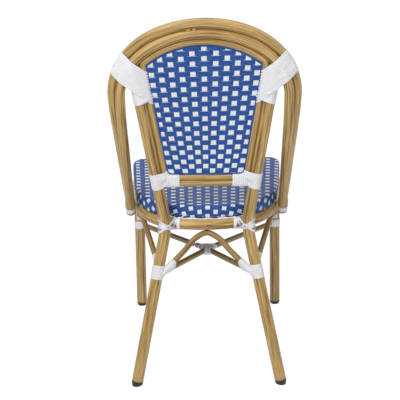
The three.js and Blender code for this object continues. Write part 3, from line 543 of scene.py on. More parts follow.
# The rear arch: its top, a point on its curve, its shoulder and its foot on the leg.
arch_fall = arch_top - arch_shoulder_height
arch_points = np.array([
    (0, rail_rear, arch_top), low_leg_place(arch_shoulder * 0.55, arch_top - arch_fall * 0.3),
    low_leg_place(arch_shoulder, arch_shoulder_height), rear_leg_at(arch_foot_height)])
rear_arch_line = through(whole(arch_points))

# The side arch follows the rail, at these shares of its depth, and bends down to the legs at
# shares of the way there.
side_bends = (0.82, 0.7)
under_rail = {}
for depth_share in (0.3, 0.37, 0.55, 0.68, 0.76):
    forward = rail_rear - depth_share * rail_depth
    beside = rail_line[(rail_line[:, 0] > 0) & (rail_line[:, 1] > rail_rear - rail_depth * 0.9)]
    spot = beside[np.argmin(abs(beside[:, 1] - forward))]
    under_rail[depth_share] = np.array((spot[0], forward, side_top))
side_rear = rear_leg_at(side_rear_height)
side_front = front_leg_at(side_front_height)
side_arch_line = through([
    side_rear, side_rear + (under_rail[0.3] - side_rear) * side_bends[0], under_rail[0.37],
    under_rail[0.55], under_rail[0.68], side_front + (under_rail[0.76] - side_front) * side_bends[1],
    side_front])

cross_rear = rear_leg_at(cross_rear_height)
cross_front = front_leg_at(cross_front_height)
cross_line = evenly(np.vstack([cross_rear, cross_centre, cross_front * (-1, 1, 1)]), straight_step)
cross_other = evenly(np.vstack([cross_rear * (-1, 1, 1), cross_centre, cross_front]), straight_step)
# The braces take a darker copy of the lacquer: painted shade for their place under the seat.
brace_bamboo_painted_shade = bamboo_lacquer("brushed bamboo lacquer, darkened as painted shade", "bd9c61", "9d7b43", "684d27", "402c15")
middle = len(cross_other) // 2
for rod_name, rod_line, cad_name, first in (
    ("rear_arch_rod", rear_arch_line, "rear_arch", 20.0),
    ("cross_rod_whole", cross_line, "cross_brace", 23.0),
    ("cross_rod_rear_half", cross_other[:middle], "cross_brace_rear_half", 26.0),
    ("cross_rod_front_half", cross_other[middle + 1:], "cross_brace_front_half", 28.0),
):
    make_tube(rod_name, rod_line, brace_radius, brace_bamboo_painted_shade, [cad_name], sides=thin_tube_sides,
              beside=(0, 0.3, 1), first=first)
make_pair("side_arch_rod",
          lambda bm: sweep_tube(bm, side_arch_line, brace_radius, sides=thin_tube_sides,
                                beside=(1, 0, 0), first=30.0),
          brace_bamboo_painted_shade, ["side_arch"])


# Glides and hoop caps
# Black polyethylene glides pushed up the legs, worn flat under the foot, and brown-black caps
# in the lower ends of the hoops. Both are moulded.
def moulded(name, shade, rough):
    """Moulded polyethylene: one even colour, dulled in patches by handling, with a fine grain."""
    made, tree = blank_material(name)
    place = node(tree, "ShaderNodeTexCoord")
    # A 0.6 mm grain.
    grain = node(tree, "ShaderNodeTexNoise", Vector=place.outputs["Object"], Scale=1600.0, Detail=2.0)
    patch = node(tree, "ShaderNodeTexNoise", Vector=place.outputs["Object"], Scale=120.0, Detail=3.0)
    dull = node(tree, "ShaderNodeMapRange", Value=patch.outputs["Fac"], _3=rough - 0.08, _4=rough + 0.12)
    # The dulled patches are up to a third lighter.
    tone = node(tree, "ShaderNodeMix", {"data_type": "RGBA"}, _0=patch.outputs["Fac"],
                _6=linear(shade), _7=[c * 1.3 for c in linear(shade)[:3]] + [1])
    bumps = node(tree, "ShaderNodeBump", Strength=0.15, Distance=0.0003, Height=grain.outputs["Fac"])
    skin = node(tree, "ShaderNodeBsdfPrincipled", Base_Color=tone.outputs[2], Roughness=dull.outputs[0],
                Normal=bumps.outputs[0], IOR=1.51)
    node(tree, "ShaderNodeOutputMaterial", Surface=skin.outputs[0])
    return made


# Profiles as radius and height, from the middle of the leg's or the hoop's end.
glide_profile = [
    (0, -0.016), (0.0115, -0.016), (0.0118, -0.0104), (0.0128, -0.0082), (0.0138, -0.0058),
    (0.0143, -0.0030), (0.0143, -0.0008), (0.0139, 0.0), (0.0114, 0.0), (0.0114, 0.016), (0, 0.016)]
cap_profile = [
    (0, -0.016), (0.0095, -0.016), (0.0095, 0.0), (0.0117, 0.0), (0.0118, 0.0012),
    (0.0110, 0.0026), (0.0088, 0.0034), (0, 0.0036)]
glide_plastic = moulded("moulded black polyethylene", "100e0e", 0.45)
cap_plastic = moulded("moulded brown-black polyethylene", "33261c", 0.5)


def turn_profile(bm, profile, steps=28):
    """A solid of revolution about Z from a profile of radius and height."""
    rim = [bm.verts.new((r, 0, z)) for r, z in profile]
    edges = [bm.edges.new(pair) for pair in zip(rim, rim[1:])]
    bmesh.ops.spin(bm, geom=rim + edges, cent=(0, 0, 0), axis=(0, 0, 1), angle=math.tau,
                   steps=steps, use_merge=True, use_duplicate=False)
    bmesh.ops.remove_doubles(bm, verts=bm.verts, dist=1e-6)
    bmesh.ops.recalc_face_normals(bm, faces=bm.faces)


def stand_on(bm, spot, direction):
    """Turns a solid's Z to a direction and moves it to a place."""
    turn = Vector((0, 0, 1)).rotation_difference(Vector(direction)).to_matrix()
    bmesh.ops.rotate(bm, cent=(0, 0, 0), matrix=turn, verts=bm.verts)
    bmesh.ops.translate(bm, vec=Vector(spot), verts=bm.verts)


def build_glide(leg_at):
    """A glide on a leg's lower end, cut flat at the floor."""
    def build(bm):
        axis = leg_at(rail_height) - leg_at(0)
        axis /= np.linalg.norm(axis)
        turn_profile(bm, glide_profile)
        stand_on(bm, leg_at(glide_height), axis)
        cut = bmesh.ops.bisect_plane(bm, geom=bm.verts[:] + bm.edges[:] + bm.faces[:], dist=1e-7,
                                     plane_co=(0, 0, 0), plane_no=(0, 0, -1), clear_outer=True)
        bmesh.ops.edgenet_fill(bm, edges=[e for e in cut["geom_cut"] if isinstance(e, bmesh.types.BMEdge)])
        bmesh.ops.recalc_face_normals(bm, faces=bm.faces)
    return build


make_pair("rear_leg_glide", build_glide(rear_leg_at), glide_plastic, ["rear_glide"])
make_pair("front_leg_glide", build_glide(front_leg_at), glide_plastic, ["front_glide"])


def build_cap(half):
    """A plug in the lower end of a hoop."""
    def build(bm):
        turn_profile(bm, cap_profile)
        stand_on(bm, half[-1], (half[-1] - half[-2]) / np.linalg.norm(half[-1] - half[-2]))
    return build


make_pair("inner_hoop_plug", build_cap(inner_half), cap_plastic, ["inner_hoop_cap"])
make_pair("outer_hoop_plug", build_cap(outer_half), cap_plastic, ["outer_hoop_cap"])


# Tack welds between the hoops
# Two short beads in the groove at the top, painted over with the tubes.
bead_size = (0.0092, 0.0040, 0.0046)
for number in (1, 2):
    low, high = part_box(f"weld_bead_{number}")
    bm = bmesh.new()
    bmesh.ops.create_icosphere(bm, subdivisions=3, radius=0.5)
    # Each bead is lumpy in its own way.
    for corner in bm.verts:
        corner.co *= 1 + 0.14 * math.sin(11 * corner.co.x + number) * math.cos(9 * corner.co.z)
    bmesh.ops.scale(bm, vec=bead_size, verts=bm.verts)
    bmesh.ops.translate(bm, vec=(low + high) / 2, verts=bm.verts)
    make_piece(f"tack_weld_{number}", bm, bamboo, [f"weld_bead_{number}"])


# Seat frame and its bolts
# Mill-finish aluminium ring that the seat is woven round, and zinc-plated bolts, both as the
# CAD model has them.
def bare_metal(name, shade, rough):
    """Bare metal with a satin surface: grey, with a fine drawn grain in its roughness."""
    made, tree = blank_material(name)
    place = node(tree, "ShaderNodeTexCoord")
    # A grain of about 1 mm.
    grain = node(tree, "ShaderNodeTexNoise", Vector=place.outputs["Object"], Scale=900.0, Detail=3.0)
    worn = node(tree, "ShaderNodeMapRange", Value=grain.outputs["Fac"], _3=rough - 0.1, _4=rough + 0.1)
    skin = node(tree, "ShaderNodeBsdfPrincipled", Base_Color=linear(shade), Metallic=1.0,
                Roughness=worn.outputs[0])
    node(tree, "ShaderNodeOutputMaterial", Surface=skin.outputs[0])
    return made


mill_aluminium = bare_metal("mill-finish aluminium", "c9c9c6", 0.42)
zinc_plate = bare_metal("zinc-plated steel", "bfc1c2", 0.35)
for cad_name, metal in (("seat_frame", mill_aluminium), ("seat_bolt_rear_left", zinc_plate),
                        ("seat_bolt_rear_right", zinc_plate), ("seat_bolt_front_left", zinc_plate),
                        ("seat_bolt_front_right", zinc_plate)):
    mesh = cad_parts[cad_name].data
    mesh.materials.clear()
    mesh.materials.append(metal)


# Woven back
# Plain weave of flat polyethylene strip: pairs of white strips stand upright, and pairs of blue
# ones run across to the rim, where a blue strip along it covers their ends.
strip_thick = 0.0011
back_rows = 29
back_row = 0.0119
# Each row is two strips: their numbers, and their places as shares of a row.
row_strips = ((0, -0.25), (1, 0.25))
# The first row's place, measured up the slope of the back from the seat rail.
row_start = 0.1394
# How much lower the rows lie for each metre to one side.
row_drop = 0.012
panel_slope = math.hypot(1, recline)


def strip_paint(name, light, mid, deep, edge):
    """Extruded polyethylene strip: waxy satin, with drawn lines along it, and painted shade along its
    edges, where strips meet. UV is in metres, and the strip's middle is at 0. The lines are 1 mm apart,
    coarser than real ones so that they show."""
    made, tree = blank_material(name)
    place = node(tree, "ShaderNodeUVMap", {"uv_map": "UVMap"})
    parts = node(tree, "ShaderNodeSeparateXYZ", Vector=place.outputs["UV"])
    # Streaks 30 mm long and 1.4 mm wide.
    long_spot = node(tree, "ShaderNodeVectorMath", {"operation": "MULTIPLY"}, _0=place.outputs["UV"],
                     _1=(33.0, 700.0, 1.0))
    streak = node(tree, "ShaderNodeTexNoise", Vector=long_spot.outputs[0], Scale=1.0, Detail=3.0)
    paint = three_shades(tree, streak.outputs["Fac"], (0.3, deep), (0.5, mid), (0.7, light))
    # Painted shade: the colour turns to the edge shade from 2 mm off the strip's middle, fully at 2.8 mm,
    # where it meets the next strip.
    off = maths(tree, "ABSOLUTE", parts.outputs["Y"])
    painted_edge_shade = node(tree, "ShaderNodeMapRange", Value=off, _1=0.0020, _2=0.0028)
    both = node(tree, "ShaderNodeMix", {"data_type": "RGBA"}, _0=painted_edge_shade.outputs[0], _6=paint,
                _7=linear(edge))
    wave = maths(tree, "MULTIPLY", parts.outputs["Y"], math.tau * 1000)
    ridge = maths(tree, "COSINE", wave)
    grooves = node(tree, "ShaderNodeBump", Strength=0.4, Distance=0.00012, Height=ridge)
    skin = node(tree, "ShaderNodeBsdfPrincipled", Base_Color=both.outputs[2], Roughness=0.50,
                Normal=grooves.outputs[0], IOR=1.51)
    node(tree, "ShaderNodeOutputMaterial", Surface=skin.outputs[0])
    return made


# The last shade of each is the painted shade along the strip's edges.
blue_strip = strip_paint("blue extruded polyethylene strip", "0a65c0", "0450a8", "03397f", "032a5c")
white_strip = strip_paint("white extruded polyethylene strip", "fdfeff", "fbfdff", "f6f9ff", "eceff8")

# A strip's rounded section: shares of its width and of its thickness.
strip_section = np.array([
    (-0.5, -0.5), (-0.5, 0.2), (-0.45, 0.5), (0.45, 0.5), (0.5, 0.2), (0.5, -0.5), (-0.5, -0.5)])


def lay_strip(bm, centre, across, out, width, first=0.0, thick=strip_thick, section=strip_section):
    """A flat strip along a line of centres, with the direction of its width and of its face. Its
    width is one number, or one for each centre."""
    widths = np.broadcast_to(width, len(centre))[:, None]

    def place(u, v):
        i = np.rint(u * (len(centre) - 1)).astype(int)
        k = np.rint(v * (len(section) - 1)).astype(int)
        return centre[i] + across[i] * (section[k, :1] * widths[i]) + out[i] * (section[k, 1:] * thick)

    run = float(np.linalg.norm(np.diff(centre, axis=0), axis=1).sum())
    sides = np.linalg.norm(np.diff(section * (widths.max(), thick), axis=0), axis=1)
    round_at = np.r_[0, np.cumsum(sides)] - sides[:-1].sum() / 2
    bend_grid(bm, len(centre) - 1, len(section) - 1, place, run, first, round_at)


# The white columns spread upwards. Their pitch at half height, how it grows for each metre of
# rise, and how much less it grows from column to column.
half_height = 0.66
column_pitch = 0.0208
pitch_growth = 0.0405
growth_loss = 0.0023
growth_bend = 0.0108


def column_at(x, z):
    """Which white column a place is on, counted from the middle; whole numbers are centres."""
    rise = z - half_height
    near = column_pitch + pitch_growth * rise
    curve = growth_loss * rise + growth_bend * rise**2
    return np.sign(x) * 2 * abs(x) / (near + np.sqrt(np.maximum(near**2 - 4 * curve * abs(x), 1e-9)))


def column_x(i, z):
    """How far from the middle a white column is at a height."""
    rise = z - half_height
    return i * (column_pitch + (pitch_growth - growth_loss * abs(i)) * rise
                - growth_bend * abs(i) * rise**2)


def over(share, steep=1.7):
    """The rise and fall of a strip that goes over and under in turn. The steeper it changes, the
    longer it stays up and down."""
    return np.clip(steep * np.cos(math.pi * share), -1, 1)


# The weave ends on the rim's inner side, this far in from the rim's middle line.
weave_edge_in = 0.0065
to_middle = back_place(0, half_height) - rim_line
to_middle /= np.linalg.norm(to_middle, axis=1)[:, None]
inner_edge = rim_line + to_middle * weave_edge_in
edge_half = inner_edge[inner_edge[:, 0] >= 0]
edge_half = edge_half[np.argsort(edge_half[:, 2])]
low_edge = edge_half[:, 2].min()
high_edge = edge_half[:, 2].max()


# Below this height the rim's sides bound the weave, and above it the arch does.
arch_from = 0.79


def half_width_at(z):
    """Half the weave's width at a height."""
    sides = edge_half[edge_half[:, 0] > 0.02]
    return np.where(z < arch_from, np.interp(z, sides[:, 2], sides[:, 0]),
                    np.interp(z, edge_half[:, 2], edge_half[:, 0]))


def height_of(along_slope):
    """The height of a place that is measured up the slope of the back."""
    return rail_height + along_slope / panel_slope


def row_tilt(x):
    """The rows hang a little lower at one side."""
    return -row_drop * x


panel_out = -across_back
rise_height = 0.0008
blue_width = 0.0057
# The rows end this far above the rim's low run and below its top.
low_margin = 0.001
high_margin = 0.002


def lay_on_back(bm, x, z, heights, across, width, first):
    """A strip on the back, which rises and falls by shares of rise_height."""
    centre = np.array([back_place(a, b) for a, b in zip(x, z)])
    centre += heights[:, None] * rise_height * panel_out
    lay_strip(bm, centre, np.tile(across, (len(x), 1)), np.tile(panel_out, (len(x), 1)), width, first)


bm = bmesh.new()
for row in range(back_rows):
    for strip, shift in row_strips:
        z = height_of(row_start - back_row * 0.5 + (row + shift) * back_row)
        if not low_edge + low_margin < z < high_edge - high_margin:
            continue
        wide = half_width_at(z)
        x = np.linspace(-wide, wide, 131)
        lay_on_back(bm, x, z + row_tilt(x), over(column_at(x, z) + row + 1),
                    np.cross(panel_out, (1, 0, 0)), blue_width, row * 1.7 + strip * 0.6)
# A blue strip on each face covers the rows' ends along the rim.
border_in = 0.0089
border_width = 0.0044
border_level = 0.0016
border = rim_line + to_middle * border_in
border_across = np.cross(directions(border, True), panel_out)
for level in (-border_level, border_level):
    lay_strip(bm, border + level * panel_out, border_across, np.tile(panel_out, (len(border), 1)),
              border_width, first=60 + level * 500)
bmesh.ops.recalc_face_normals(bm, faces=bm.faces)
blue_back = bm

# Each column is a pair of white strips, which lie this far to either side of its middle. They go
# over and under more steeply than the blue ones.
white_shift = 0.0030
white_width = 0.0061
white_steep = 2.6
side_columns = 6
slope_ends = (0.128, 0.462)
# A piece of strip with fewer places than this is left out.
shortest = 12
bm = bmesh.new()
for column in range(-side_columns, side_columns + 1):
    slope_line = np.linspace(*slope_ends, 330)
    z_line = height_of(slope_line)
    x = column_x(column, z_line)
    inside = (abs(x) < half_width_at(z_line) + 0.001) & (z_line > low_edge) & (z_line < high_edge)
    if inside.sum() < shortest:
        continue
    rows = (slope_line[inside] - row_start) / back_row + 0.5
    heights = over(rows + column, white_steep)
    for shift in (-white_shift, white_shift):
        lay_on_back(bm, x[inside] + shift, z_line[inside], heights, (1.0, 0, 0), white_width,
                    column * 2.3 + shift * 100)
bmesh.ops.recalc_face_normals(bm, faces=bm.faces)
make_piece("back_weave_white", bm, white_strip, ["woven_back"])
make_piece("back_weave_blue", blue_back, blue_strip, ["woven_back"])


# Woven seat
# The same weave drawn tight over the seat frame: the strips run straight over the top, fold
# over the frame's rounded edge, go down its side and are tucked under it.
seat_half_width = 0.201
seat_depth = 0.4296
seat_rear = 0.16197
seat_top = 0.432
seat_underside = 0.4000
seat_edge_radius = 0.007
seat_low_radius = 0.0028
weave_half = 0.0013
# The middle sinks by this much, from this far in from the edge.
seat_sag = 0.0015
sag_reach = 0.10
seat_shares = [
    (0, 0), (0.3, 0.018), (0.552, 0.063), (0.711, 0.137), (0.84, 0.263), (0.893, 0.36),
    (0.958, 0.674), (0.99, 0.84), (0.99, 0.93), (0.92, 0.985), (0.75, 1), (0.4, 1)]
seat_line = through(ring_outline(seat_shares, seat_half_width, seat_depth, seat_rear, 0.0),
                    step=0.0008, closed=True)[:-1]
seat_along = directions(np.vstack([seat_line, seat_line[:1]]), True)[:-1]
seat_out = np.cross(seat_along, (0, 0, 1))
seat_out *= np.sign((seat_out * (seat_line - seat_line.mean(0))).sum())
seat_line = seat_line - seat_out * weave_half


def fold_over(flat):
    """Lays places of the flat weave on the seat: their place, which way the weave faces there, and
    how far they are past the start of the rounded edge."""
    nearest = np.argmin(((flat[:, None, :2] - seat_line[None, :, :2]) ** 2).sum(2), 1)
    foot, out = seat_line[nearest], seat_out[nearest]
    beyond = ((flat - foot) * out).sum(1)
    past = beyond + seat_edge_radius
    top = seat_top - weave_half
    wall_top = top - seat_edge_radius
    wall_low = seat_underside + weave_half + seat_low_radius
    arc = seat_edge_radius * math.pi / 2
    wall = wall_top - wall_low
    turn = np.clip(past / seat_edge_radius, 0, math.pi / 2)
    down = np.clip(past - arc, 0, wall)
    curl = np.clip((past - arc - wall) / seat_low_radius, 0, math.pi / 2)
    under = np.maximum(past - arc - wall - seat_low_radius * math.pi / 2, 0)
    reach = (seat_edge_radius * (np.sin(turn) - 1) - seat_low_radius * (1 - np.cos(curl)) - under)
    rise = top - seat_edge_radius * (1 - np.cos(turn)) - down - seat_low_radius * np.sin(curl)
    spot = foot + out * reach[:, None]
    flat_part = past < 0
    spot[flat_part] = flat[flat_part]
    sag = seat_sag * np.clip(-past / sag_reach, 0, 1) ** 2
    spot[:, 2] = rise - sag
    face = out * (np.sin(turn) * np.cos(curl))[:, None]
    face[:, 2] = np.cos(turn) - np.sin(curl)
    return spot, face / np.linalg.norm(face, axis=1)[:, None], past


# Rows lie 13 mm apart on top and closer over the two edges. The first is on the rear face.
seat_row = 0.013
edge_row = 0.0113
rear_rows = np.array([0.0385, 0.0272, 0.0160, 0.0042, -0.0045, -0.0140])
front_steps = (0.0125, 0.0115, 0.0108, 0.0115, 0.0115, 0.0115)
even_rows = (-0.250, 0.14)
seat_rows = list(seat_rear - seat_edge_radius + rear_rows)
while seat_rows[-1] > even_rows[0]:
    seat_rows.append(seat_rows[-1] - seat_row)
for step in front_steps:
    seat_rows.append(seat_rows[-1] - step)
seat_rows = np.array(seat_rows)
row_numbers = np.arange(len(seat_rows)) - 1
# How far past the start of the rounded edge the strips reach, round the side and underneath.
fold_end = 0.039
seat_rise = 0.0007
seat_column = 0.0217
seat_column_growth = 0.0095


def seat_pitch(y):
    """How far apart the white columns lie: a little more towards the front."""
    return seat_column - seat_column_growth * y


def lay_on_seat(bm, flat, width, heights, sideways, first, narrow=0.0, dive=0.0):
    """A strip on the seat, as far as it is on the weave, which rises and falls by shares of
    seat_rise. Where it folds over a corner it can be drawn narrower, and dive sooner."""
    spot, face, past = fold_over(flat)
    inside = np.flatnonzero(past < fold_end)
    if len(inside) < shortest + 2:
        return
    keep = slice(inside[0], inside[-1] + 1)
    across = fold_over(flat + sideways * width * 0.5)[0] - fold_over(flat - sideways * width * 0.5)[0]
    across /= np.linalg.norm(across, axis=1)[:, None]
    corner = np.clip(abs(face[:, 0]) * 2 - 0.3, 0, 1) * np.clip(abs(face[:, 1]) * 2 - 0.3, 0, 1)
    heights = np.clip(heights - dive * corner, -1, 1) * seat_rise
    centre = spot + face * heights[:, None]
    lay_strip(bm, centre[keep], across[keep], face[keep], (width * (1 - narrow * corner))[keep], first)


# Each column is a pair of strips, which lie this far to either side of its middle, and the whole
# pattern lies as far off the seat's middle. A blue strip takes up this share of a row.
pair_shift = 0.0027
blue_share = 0.48
seat_white_width = 0.0054
seat_side_columns = 10
row_reach = 0.236
column_ends = (0.198, -0.302)
# The white strips lie lower than the blue ones, so they stay under for longer than over.
white_lower = 0.5
bm = bmesh.new()
for number, y in zip(row_numbers, seat_rows):
    gap = seat_row if even_rows[0] < y < even_rows[1] else edge_row
    for strip, shift in row_strips:
        x = np.linspace(-row_reach, row_reach, 191)
        flat = np.stack([x, np.full_like(x, y + shift * gap), np.zeros_like(x)], 1)
        columns = (-x - pair_shift) / seat_pitch(y)
        heights = over(columns + number + 1)
        lay_on_seat(bm, flat, gap * blue_share, heights, np.array((0, 1.0, 0)), number * 1.3 + strip * 0.7)
bmesh.ops.recalc_face_normals(bm, faces=bm.faces)
make_piece("seat_weave_blue", bm, blue_strip, ["woven_seat"])

bm = bmesh.new()
for column in range(-seat_side_columns, seat_side_columns + 1):
    for shift in (-pair_shift, pair_shift):
        y = np.linspace(*column_ends, 251)
        flat = np.stack([-(pair_shift + column * seat_pitch(y)) + shift, y, np.zeros_like(y)], 1)
        rows = np.interp(-y, -seat_rows, row_numbers)
        heights = np.minimum(white_steep * np.cos(math.pi * (rows + column)) - white_lower, 1)
        lay_on_seat(bm, flat, seat_white_width, heights, np.array((1.0, 0, 0)),
                    column * 1.9 + shift * 100, narrow=0.30, dive=1.0)
bmesh.ops.recalc_face_normals(bm, faces=bm.faces)
make_piece("seat_weave_white", bm, white_strip, ["woven_seat"])


# Lashings
# White polyethylene strip, 5.4 mm wide, wound tight and without gaps round each joint and tucked
# under itself at the ends. Where tubes part, the turns fan out to follow them. A band below is
# where a winding starts and ends: heights on a leg, or distances along a rod or from the middle.
lash_width = 0.0054
lash_thick = 0.0012
# Strands farther than this from the middle of a winding have no part in it.
lash_reach = 0.11
# Only this share of the strip's width bears on the strands.
bearing_share = 0.3
lash_section = np.array([
    (-0.5, -0.5), (-0.5, 0.0), (-0.36, 0.42), (0.0, 0.5), (0.36, 0.42), (0.5, 0.0), (0.5, -0.5),
    (-0.5, -0.5)])


def strand(line, radius, keep=None):
    """A tube that strip is wound round, as places 1 mm apart and the radius there. Keep says which
    of the places count."""
    places = evenly(line, 0.001)
    if keep is not None:
        places = places[keep(places)]
    return np.column_stack([places, np.full(len(places), radius)])


def reach(strands, centre, axis, normal, width):
    """How far the strands stand out from a centre, within a strip's width."""
    offset = strands[:, :3] - centre
    along = np.maximum(abs(offset @ axis) - width / 2, 0)
    near = along < strands[:, 3]
    return (offset[near] @ normal + np.sqrt(strands[near, 3] ** 2 - along[near] ** 2)).max()


def wind(bm, strands, start, end, turns, facing, steps=40, width=lash_width, first=0.0):
    """One strip wound round its strands, from one plane to another. A plane is a centre and an
    axis. The strip starts on the side it is facing. It gives back its own middle line, as a strand
    for the strip that goes over it."""
    strands = np.vstack(strands)
    middle = (np.array(start[0]) + np.array(end[0])) / 2
    strands = strands[np.linalg.norm(strands[:, :3] - middle, axis=1) < lash_reach]
    count = turns * steps
    side = math.pi / steps
    centres, outs, tucks = [], [], []
    for k in range(count + 1):
        share = k / count
        centre = np.array(start[0]) * (1 - share) + np.array(end[0]) * share
        axis = np.array(start[1], float) * (1 - share) + np.array(end[1], float) * share
        axis /= np.linalg.norm(axis)
        one = np.array(facing, float) - axis * (axis @ np.array(facing, float))
        one /= np.linalg.norm(one)
        two = np.cross(axis, one)
        angle = math.tau * k / steps
        reaches = []
        for turn in (angle - side, angle + side):
            normal = math.cos(turn) * one + math.sin(turn) * two
            reaches.append(reach(strands, centre, axis, normal, width * bearing_share))
        out = math.cos(angle) * one + math.sin(angle) * two
        sideways = np.cross(axis, out)
        spot = (centre + out * (reaches[0] + reaches[1]) / 2 / math.cos(side)
                + sideways * ((reaches[1] - reaches[0]) / 2 / math.sin(side)))
        # Where the strip lies on a tube, it faces square away from that tube.
        gaps = np.linalg.norm(strands[:, :3] - spot, axis=1)
        nearest = np.argmin(gaps - strands[:, 3])
        if gaps[nearest] - strands[nearest, 3] < lash_thick:
            radial = (spot - strands[nearest, :3]) / gaps[nearest]
            spot = strands[nearest, :3] + radial * strands[nearest, 3]
            out = radial
        centres.append(spot)
        outs.append(out)
        # The first and the last quarter turn dive under the turns beside them.
        tucks.append(np.clip(1 - min(k, count - k) / (steps * 0.25), 0, 1))
    outs = np.array(outs)
    for _ in range(2):
        outs[1:-1] = (outs[:-2] + 2 * outs[1:-1] + outs[2:]) / 4
    outs /= np.linalg.norm(outs, axis=1)[:, None]
    lift = lash_thick * (0.5 - 0.9 * np.array(tucks))
    centres = np.array(centres) + outs * lift[:, None]
    across = np.cross(directions(centres, False), outs)
    across /= np.linalg.norm(across, axis=1)[:, None]
    lay_strip(bm, centres, across, outs, width, first, lash_thick, lash_section)
    return strand(centres, lash_thick)


def on_back(x, z, lean_x, lean_z):
    """A plane square to the leaning back: its centre, and its axis in the back's own plane."""
    axis = np.array((lean_x, lean_z * recline, lean_z))
    return back_place(x, z), axis / np.linalg.norm(axis)


def across_leg(leg_at, low, high):
    """Two planes square to a leg, at two heights."""
    way = leg_at(1) - leg_at(0)
    return (leg_at(low), way), (leg_at(high), way)


def stretch(start, way, near, far):
    """Two planes square to a direction, near and far along it from a place."""
    way = np.array(way) / np.linalg.norm(way)
    return (start + way * near, way), (start + way * far, way)


# The last shade is the painted shade along the strip's edges, between the turns.
white_lashing = strip_paint("white extruded polyethylene lashing",
                            "fdfdfe", "fafafc", "f6f6f9", "bfbfc9")
front = (0, -1, 0)
below = (0, 0, -1)
sideways = (1, 0, 0)
both_hoops = [strand(inner_line, hoop_radius), strand(outer_line, hoop_radius)]
leg_strand = strand(rear_leg_line, leg_radius)
rim_strand = strand(rim_line, rim_radius, lambda p: p[:, 0] > 0)


def build_top_lashing(bm):
    """Twelve turns round both hoops, the leg and the rim, and eight round the leg and the rim,
    which lie over their lower end."""
    slanting_from, slanting_to = (0.1535, 0.7940, 0.640, -0.768), (0.1660, 0.7350, 0.629, -0.777)
    level_from, level_to = (0.1480, 0.7270, 0.20, -0.98), (0.1400, 0.7015, -0.34, -0.94)
    slanting_width = 0.0050
    band = wind(bm, [*both_hoops, leg_strand, rim_strand], on_back(*slanting_from),
                on_back(*slanting_to), turns=12, facing=front, steps=64, width=slanting_width,
                first=3.0)
    leg_x, leg_side = 0.13, 0.024
    near_leg = abs(band[:, 0] - leg_x) < leg_side
    wind(bm, [leg_strand, rim_strand, band[near_leg]], on_back(*level_from), on_back(*level_to),
         turns=8, facing=front)


def build_corner_lashing(bm):
    """Eight turns round the rim's low bar and the crossbar, then eight round the leg and the rim."""
    bar_band = (0.0615, 0.1015)
    leg_band = (0.4880, 0.5270)
    low_rim = strand(rim_line, rim_radius, lambda p: (p[:, 0] > 0) & (p[:, 2] < 0.518))
    side_rim = strand(rim_line, rim_radius, lambda p: (p[:, 0] > 0.088) & (p[:, 2] < 0.60))
    between = back_place(0, (rim_low + bar_height) / 2)
    wind(bm, [low_rim, strand(bar_line, bar_radius)], *stretch(between, sideways, *bar_band),
         turns=8, facing=front, first=5.0)
    wind(bm, [leg_strand, side_rim], *across_leg(upright_at, *leg_band), turns=8, facing=front,
         first=7.0)


def build_seat_lashing(bm):
    """Three turns lie on the rail beside the leg, the last one leaning. Then two crossing turns tie
    the leg to the rail, and three turns round the leg cover their middle."""
    even_band, even_way = (0.0625, 0.0695), (1, -0.2, 0)
    leaning_band, leaning_way = (0.0740, 0.0785), (1, -0.2, 0.5)
    even_width, crossing_width = 0.0046, 0.0064
    crossing_half, crossing_rise, crossing_reach = 0.0015, 0.0025, 0.018
    waist_band, waist_top_way = (0.3800, 0.3960), (-0.10, 0.1, 1.0)
    rail_part = strand(rail_line, rail_radius, lambda p: (p[:, 0] > 0) & (p[:, 1] > 0.1))
    by_width = rail_part[np.argsort(rail_part[:, 0])]

    def rail_place(x):
        """The middle of the rail's rear run, at a distance from the chair's middle."""
        return np.array([np.interp(x, by_width[:, 0], by_width[:, i]) for i in range(3)])

    wind(bm, [rail_part], *[(rail_place(x), even_way) for x in even_band], turns=2, facing=front,
         width=even_width, first=1.0)
    wind(bm, [rail_part], *[(rail_place(x), leaning_way) for x in leaning_band], turns=1,
         facing=front, first=2.0)
    nearest = rail_part[np.argmin(np.linalg.norm(rail_part[:, :3] - waist, axis=1)), :3]
    joint = (waist + nearest) / 2 + (0, 0, crossing_rise)
    crossing = []
    for lean in (0.68, -0.68):
        crossing.append(wind(bm, [leg_strand, rail_part, *crossing],
                             *stretch(joint, (lean, 0, 1.0), -crossing_half, crossing_half),
                             turns=1, facing=front, steps=56, width=crossing_width,
                             first=9.0 + lean))
    crossing = np.vstack(crossing)
    near_leg = np.linalg.norm(crossing[:, :2] - waist[:2], axis=1) < crossing_reach
    wind(bm, [leg_strand, crossing[near_leg]],
         (rear_leg_at(waist_band[0]), rear_leg_at(1) - rear_leg_at(0)),
         (upright_at(waist_band[1]), waist_top_way), turns=3, facing=front, first=10.0)


def build_rear_brace_lashing(bm):
    """Five turns out along the side arch, nine out along the rear arch and the cross rod together,
    and seven round the leg over the roots of these two."""
    side_band, branch_band, leg_band = (0.012, 0.036), (0.012, 0.0505), (0.2605, 0.2935)
    root_reach = 0.013
    side_arch = strand(side_arch_line, brace_radius, lambda p: p[:, 1] > 0.1)
    wind(bm, [side_arch], *stretch(side_rear, side_arch_line[6] - side_arch_line[0], *side_band),
         turns=5, facing=below, first=15.0)
    branches = [strand(rear_arch_line, brace_radius, lambda p: p[:, 0] > 0.03),
                strand(cross_line, brace_radius, lambda p: p[:, 0] > 0.03)]
    arch_way = rear_arch_line[-12] - rear_arch_line[-1]
    cross_way = cross_centre - cross_rear
    between = arch_way / np.linalg.norm(arch_way) + cross_way / np.linalg.norm(cross_way)
    root = (rear_leg_at(arch_foot_height) + cross_rear) / 2
    wind(bm, branches, *stretch(root, between, *branch_band), turns=9, facing=front, first=13.0)
    leg_way = (rear_leg_at(1) - rear_leg_at(0)) / np.linalg.norm(rear_leg_at(1) - rear_leg_at(0))
    roots = [part[np.linalg.norm(np.cross(part[:, :3] - rear_foot, leg_way), axis=1) < root_reach]
             for part in branches]
    wind(bm, [leg_strand, *roots], *across_leg(rear_leg_at, *leg_band), turns=7, facing=front,
         first=11.0)


